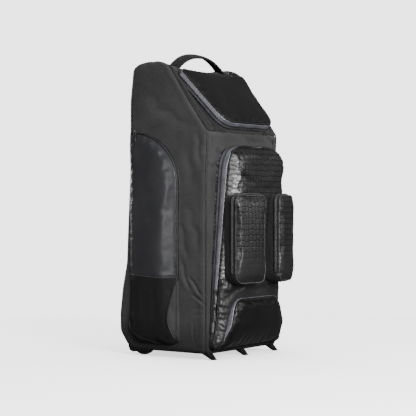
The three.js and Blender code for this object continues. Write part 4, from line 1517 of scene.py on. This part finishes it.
FRONT_RISE, FRONT_TOP, FRONT_WIDTH, FRONT_FLARE = 30, 645, 276, 92
FRONT_DEPTH, FRONT_EDGE, FRONT_CROWN, FRONT_SHARE = 84, 38, 14, 0.36
LOW_RISE, LOW_TOP, LOW_WIDTH, LOW_SHARE = 34, 182, 326, 0.72
LOW_DEPTH, LOW_EDGE, LOW_CROWN, LOW_FOOT_SHARE = 62, 8, 4, 0.6
POD_WIDTH, POD_HEIGHT, POD_RISE, POD_DEPTH = 132, 272, 228, 30
POD_EDGE, POD_CROWN, POD_TUCK = 9, 5, 24
POD_SPREAD, POD_STAND, POD_SPLAY = 94, 73, math.radians(13)


# The strips of ruffled cloth beside the front zip, which carry a painted highlight: their ends'
# heights and their width
RUFFLE_FOOT, RUFFLE_HEAD, RUFFLE_WIDTH = 218, 622, 30


def front_scale(uv):
    rise = np.minimum(uv[:, 1], FRONT_TOP)
    return FRONT_SHARE + (1 - FRONT_SHARE) * (rise - FRONT_RISE) / (FRONT_TOP - FRONT_RISE)


FRONT_POCKET_FOLDS = [
    # u0, v0, u1, v1, depth, width
    (-150, 190, -60, 232, 2.4, 9.0),
    (-120, 520, -150, 430, 1.6, 7.0),
    (-60, 212, 60, 205, 2.2, 10.0),
    (40, 214, 140, 238, 2.0, 9.0),
    (-40, 520, 60, 512, 1.2, 14.0),
    (-120, 560, -60, 530, 1.4, 10.0),
]


def build_front_pocket():
    plane = Plane((0, 0, 0), (1, 0, 0), (0, 0, 1))
    head, foot = FRONT_WIDTH / 2, (FRONT_WIDTH + FRONT_FLARE) / 2
    outline = rounded(
        [
            (foot, FRONT_RISE, 16),
            (head, FRONT_TOP, 84),
            (-head, FRONT_TOP, 84),
            (-foot, FRONT_RISE, 16),
        ]
    )

    def half_at(rise):
        return foot + (head - foot) * (rise - FRONT_RISE) / (FRONT_TOP - FRONT_RISE)

    form = Pouch(plane, outline, -2, FRONT_DEPTH, FRONT_EDGE, FRONT_CROWN, front_scale)

    def at_sides(uv):
        return 0.35 + 0.65 * smoothstep(np.abs(uv[:, 0]), 90, 130)

    blow, puckers = (5.5, 4.0, 0.03, 6, 8.0), (2.6, 17, 11, 6.0)
    made = puffed("front_pocket_cloth", form, TILES, blow, puckers, at_sides)
    press_folds(made, form, FRONT_POCKET_FOLDS)

    # Picks the ruffle strips, which carry the painted highlight.
    def ruffled(uv):
        rise = uv[:, 1]
        inner = half_at(rise) - RUFFLE_WIDTH + 5 * np.sin(rise / 26) + 4 * np.sin(rise / 9)
        inner += 20 * smoothstep(rise, 540, 612) + 24 * (1 - smoothstep(rise, 225, 290))
        return (np.abs(uv[:, 0]) > inner) & (rise < RUFFLE_HEAD) & (rise > RUFFLE_FOOT)

    dress_pouch(made, form, TILES, TILES, ruffled)
    settle(made, ["front_pocket"])
    add_piping("front_piping", made, form, 2.2, DARK_PIPING, 0.04, above(FRONT_RISE + 12))
    add_zip("front_zip_band", form, 10.0, 44.0, ["front_zip"], above(FRONT_RISE + 50), 2.6)


def build_low_pocket():
    plane = Plane((0, 0, 0), (1, 0, 0), (0, 0, 1))
    half = LOW_WIDTH / 2
    head = half * LOW_SHARE
    outline = rounded(
        [(half, LOW_RISE, 14), (head, LOW_TOP, 46), (-head, LOW_TOP, 46), (-half, LOW_RISE, 14)]
    )

    def scale(uv):
        middle = (LOW_RISE + LOW_TOP) / 2
        return LOW_FOOT_SHARE + (1 - LOW_FOOT_SHARE) * smoothstep(uv[:, 1], LOW_RISE, middle)

    form = Pouch(plane, outline, 2, LOW_DEPTH, LOW_EDGE, LOW_CROWN, scale)
    blow, puckers = (4.5, 4.0, 0.02, 6, 30.0), (1.0, 12, 8, 8.0)
    made = puffed("lower_pocket_cloth", form, GLOSS, blow, puckers)
    dress_pouch(made, form, GLOSS, GLOSS)
    settle(made, ["lower_pocket"])
    run = above(LOW_RISE + 8)
    add_piping("lower_piping", made, form, 1.8, DARK_PIPING, 0.5, run)
    add_zip("lower_zip_band", form, 22.0, 57.0, ["lower_zip"], run, 2.4)


def build_pod(sign, side):
    plane = Plane(
        (-POD_SPREAD, -POD_STAND, POD_RISE + POD_HEIGHT / 2),
        (math.cos(POD_SPLAY), -math.sin(POD_SPLAY), 0),
        (0, 0, 1),
    )
    w, h = POD_WIDTH / 2, POD_HEIGHT / 2
    outline = rounded([(w, -h, 38), (w, h, 30), (-w, h, 30), (-w, -h, 38)], 2.6)
    form = Pouch(plane, outline, -POD_TUCK, POD_DEPTH, POD_EDGE, POD_CROWN)
    before = set(bpy.data.objects)
    blow, puckers = (4.5, 4.0, 0.015, 5, -4.0), (0.8, 9, 8, 10.0 + sign)
    made = puffed(f"pod_cloth_{side}", form, POD_TILES, blow, puckers)
    dress_pouch(made, form, POD_TILES, TOP_CLOTH)
    settle(made, [f"pod_{side}"])
    add_piping(f"pod_piping_{side}", made, form, 1.6, PIPING, 0.5)
    run = above(-h + 30)
    add_zip(f"pod_zip_band_{side}", form, 9.0, 18.0, [f"pod_zip_{side}"], run, 1.5, False, POD_ZIP)
    if sign > 0:
        mirror_new(before)


# Carry handle, pulls, feet and wheels


STRAP_WIDTH, STRAP_THICKNESS, STRAP_TILT = 36.0, 5.0, 0.32
STRAP_SINK = 6.0  # the strap's roots below the top's middle
STRAP_REACH = 0.53  # each root's way out from the middle, as a share of the solid's width
STRAP_ROWS, STRAP_POINTS = 15, 90


def build_handle():
    low, high = node_box("carry_handle")
    centre = (low + high) / 2
    span, top = high[0] - low[0], high[2]
    root = BAG_HEIGHT - TOP_SAG - STRAP_SINK
    u = np.linspace(-1, 1, STRAP_POINTS)
    arch = (top - 3 - root) * (1 - np.abs(u) ** 2.4)
    middle = np.full(STRAP_POINTS, centre[1])
    path = np.column_stack([u * span * STRAP_REACH, middle, root + arch])
    wide = np.array([0, -math.cos(STRAP_TILT), -math.sin(STRAP_TILT)])
    up = np.cross(directions(path), wide)
    up *= np.sign(up[STRAP_POINTS // 2, 2])
    rows = []
    for w in np.linspace(-1, 1, STRAP_ROWS):
        edge = 1.6 * (1 - abs(w) ** 4)
        cup = -2.0 * w * w * (1 - np.abs(u) ** 3)
        rows.append(path + wide * (w * STRAP_WIDTH / 2) + up * (edge + cup)[:, None])
    grid = np.array(rows)
    over = np.linspace(0, STRAP_WIDTH, STRAP_ROWS)
    uv = np.column_stack([np.tile(run_of(path), STRAP_ROWS), np.repeat(over, STRAP_POINTS)])
    faces = grid_faces(STRAP_ROWS, STRAP_POINTS)
    made = make_mesh("handle_strap", grid.reshape(-1, 3), faces, WEBBING, uv=uv)
    thicken(made, STRAP_THICKNESS)
    settle(made, ["carry_handle"])
    for k in (2, STRAP_ROWS - 3):
        stitches(f"handle_stitches_{k}", grid[k] + up * 0.3, up)


def rounded_copy(node, name, material, width=1.2, body="bag"):
    """A solid with its edges rounded, in place of the plain one."""
    source = frame["nodes"][node]
    made = bpy.data.objects.new(name, source.data.copy())
    made.matrix_world = source.matrix_world
    bpy.context.collection.objects.link(made)
    made.data.materials.clear()
    made.data.materials.append(material)
    bevel = made.modifiers.new("bevel", "BEVEL")
    bevel.width = width * MM
    bevel.segments = 3
    bevel.limit_method = "ANGLE"
    bevel.angle_limit = math.radians(35)
    return settle(made, [node], body)


def node_box(node):
    """The low and high corners of a solid, in the bag's directions."""
    return (np.array(corner) / MM - np.array([0, FRONT, 0]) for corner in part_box(node))


def slab(name, frame_plane, outline, thickness, bevel, material):
    """A flat piece with rounded edges, cut to an outline."""
    outline = np.asarray(outline, float)
    half = thickness / 2
    rows = [
        frame_plane.place(offset(outline, -bevel), -half),
        frame_plane.place(offset(outline, -bevel * 0.3), -half + bevel * 0.3),
        frame_plane.place(outline, -half + bevel),
        frame_plane.place(outline, half - bevel),
        frame_plane.place(offset(outline, -bevel * 0.3), half - bevel * 0.3),
        frame_plane.place(offset(outline, -bevel), half),
    ]
    faces = capped_faces(len(rows), len(outline))
    return settle(make_mesh(name, np.concatenate(rows), faces, material))


def zip_pull(name, top, down, out, nodes=(), length=40.0):
    """A slider with its bridge, a ring and a shaped puller that hangs from it."""
    top, down, out = (np.asarray(v, float) for v in (top, down, out))
    side = np.cross(down, out)
    lies = Plane(top, side, -down)
    body = rounded([(4.5, -6, 2), (3.2, 6, 2), (-3.2, 6, 2), (-4.5, -6, 2)], 0.8)
    first = slab(f"{name}_slider", lies, body, 5.0, 0.9, METAL)
    if nodes:
        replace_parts(first, *nodes)
    bend = np.linspace(-1, 1, 14)[:, None]
    bridge = top + down * 4.5 * bend + out * (2.0 + 3.2 * (1 - bend**4))
    cord(f"{name}_bridge", bridge, 1.0, METAL)
    turn = np.linspace(0, 2 * math.pi, 28, endpoint=False)[:, None]
    middle = top + down * 7.5 + out * 3.6
    ring = middle + down * 5.0 * np.cos(turn) + side * 2.6 * np.sin(turn)
    cord(f"{name}_ring", ring, 0.9, METAL, True)
    hangs = Plane(top + down * 11.0 + out * 3.6, side, -down)
    blade = [(2.2, -2, 1.5), (3.0, -9, 3), (4.8, -length + 11, 3), (-4.8, -length + 11, 3)]
    blade += [(-3.0, -9, 3), (-2.2, -2, 1.5)]
    slab(f"{name}_puller", hangs, rounded(blade[::-1], 0.9), 2.6, 0.7, METAL)
    for k, at in enumerate((14.0, 18.0, 22.0)):
        across = np.linspace(-1, 1, 6)[:, None]
        rib = hangs.origin + down * at + side * 2.3 * across + out * 1.2
        cord(f"{name}_rib_{k}", rib, 0.7, METAL)


def lathe(name, profile, centre, material, body, steps=64):
    """Turns a closed profile of (x, radius) points about the axle."""
    profile = np.asarray(profile, float)
    angles = np.linspace(0, 2 * math.pi, steps, endpoint=False)
    rows = [
        np.column_stack([profile[:, 0], profile[:, 1] * math.cos(a), profile[:, 1] * math.sin(a)])
        for a in angles
    ]
    points = np.concatenate(rows) + centre
    grid = grid_faces(steps, len(profile), closed=True, wrapped=True)
    turned = [face[:1] + face[:0:-1] for face in grid]
    return settle(make_mesh(name, points, turned, material), (), body)


def build_wheel(side):
    low, high = node_box(f"wheel_{side}")
    centre, body = (low + high) / 2, f"{side}_wheel"
    half, radius = (high[0] - low[0]) / 2, (high[2] - low[2]) / 2
    h, r = half, radius
    tread = [(h * 0.35, r), (h * 0.3, r - 1.6), (-h * 0.3, r - 1.6), (-h * 0.35, r)]
    tyre = [(h, r * 0.7), (h, r - 5), (h * 0.85, r - 1.2), *tread]
    tyre += [(-h * 0.85, r - 1.2), (-h, r - 5), (-h, r * 0.7)]
    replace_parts(lathe(f"tyre_{side}", tyre, centre, RUBBER, body), f"wheel_{side}")
    hub = [(h * 0.9, 5.2), (h * 0.9, 12), (h * 0.4, 14), (h * 0.4, r * 0.62), (h * 0.85, r * 0.72)]
    hub += [(-x, y) for x, y in hub[::-1]]
    lathe(f"hub_{side}", hub, centre, PLASTIC, body)
    for k in range(5):
        turn = k * 2 * math.pi / 5
        out = np.array([0, math.cos(turn), math.sin(turn)])
        for face in (-1, 1):
            reach = np.linspace(11, r * 0.68, 8)[:, None]
            spoke = centre + out * reach + np.array([face * h * 0.5, 0, 0])
            name = f"spoke_{side}_{k}_{face + 1}"
            cord(name, spoke, 2.2, PLASTIC, body=body)


def open_under(cloth, node, margin=2.0):
    """Opens a panel where a moulded piece comes through it."""
    low, high = (np.array(c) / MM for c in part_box(node))
    centre = read_values(cloth.data.polygons, "center", 3) / MM
    over = (centre > low + margin) & (centre < high - margin)
    delete_faces(cloth, over[:, 0] & over[:, 1])


def build_hardware():
    for side in ("left", "middle", "right"):
        rounded_copy(f"foot_{side}", f"foot_shape_{side}", PLASTIC, 1.2)
    for sign, side in ((-1, "left"), (1, "right")):
        name = f"wheel_housing_{side}"
        open_under(bpy.data.objects["base_cloth"], name)
        rounded_copy(name, f"housing_shape_{side}", PLASTIC, 1.0)
        build_wheel(side)
        low, high = node_box(f"side_pull_{side}")
        at = [(low[0] + high[0]) / 2, (low[1] + high[1]) / 2, high[2] - 6]
        zip_pull(f"side_slider_{side}", at, (0, 0, -1), (sign, 0, 0), [f"side_pull_{side}"])
    for k in (1, 2):
        low, high = node_box(f"front_pull_{k}")
        at = [(low[0] + high[0]) / 2 + 1, (low[1] + high[1]) / 2 - 8, high[2] - 12]
        zip_pull(f"front_slider_{k}", at, (0, 0, -1), (-0.6, -0.8, 0), [f"front_pull_{k}"])


build_stage()
build_body()
build_lid()
for sign, side in ((-1, "left"), (1, "right")):
    build_side_pocket(sign, side)
    build_pod(sign, side)
build_front_pocket()
build_low_pocket()
build_handle()
build_hardware()

bpy.context.view_layer.update()
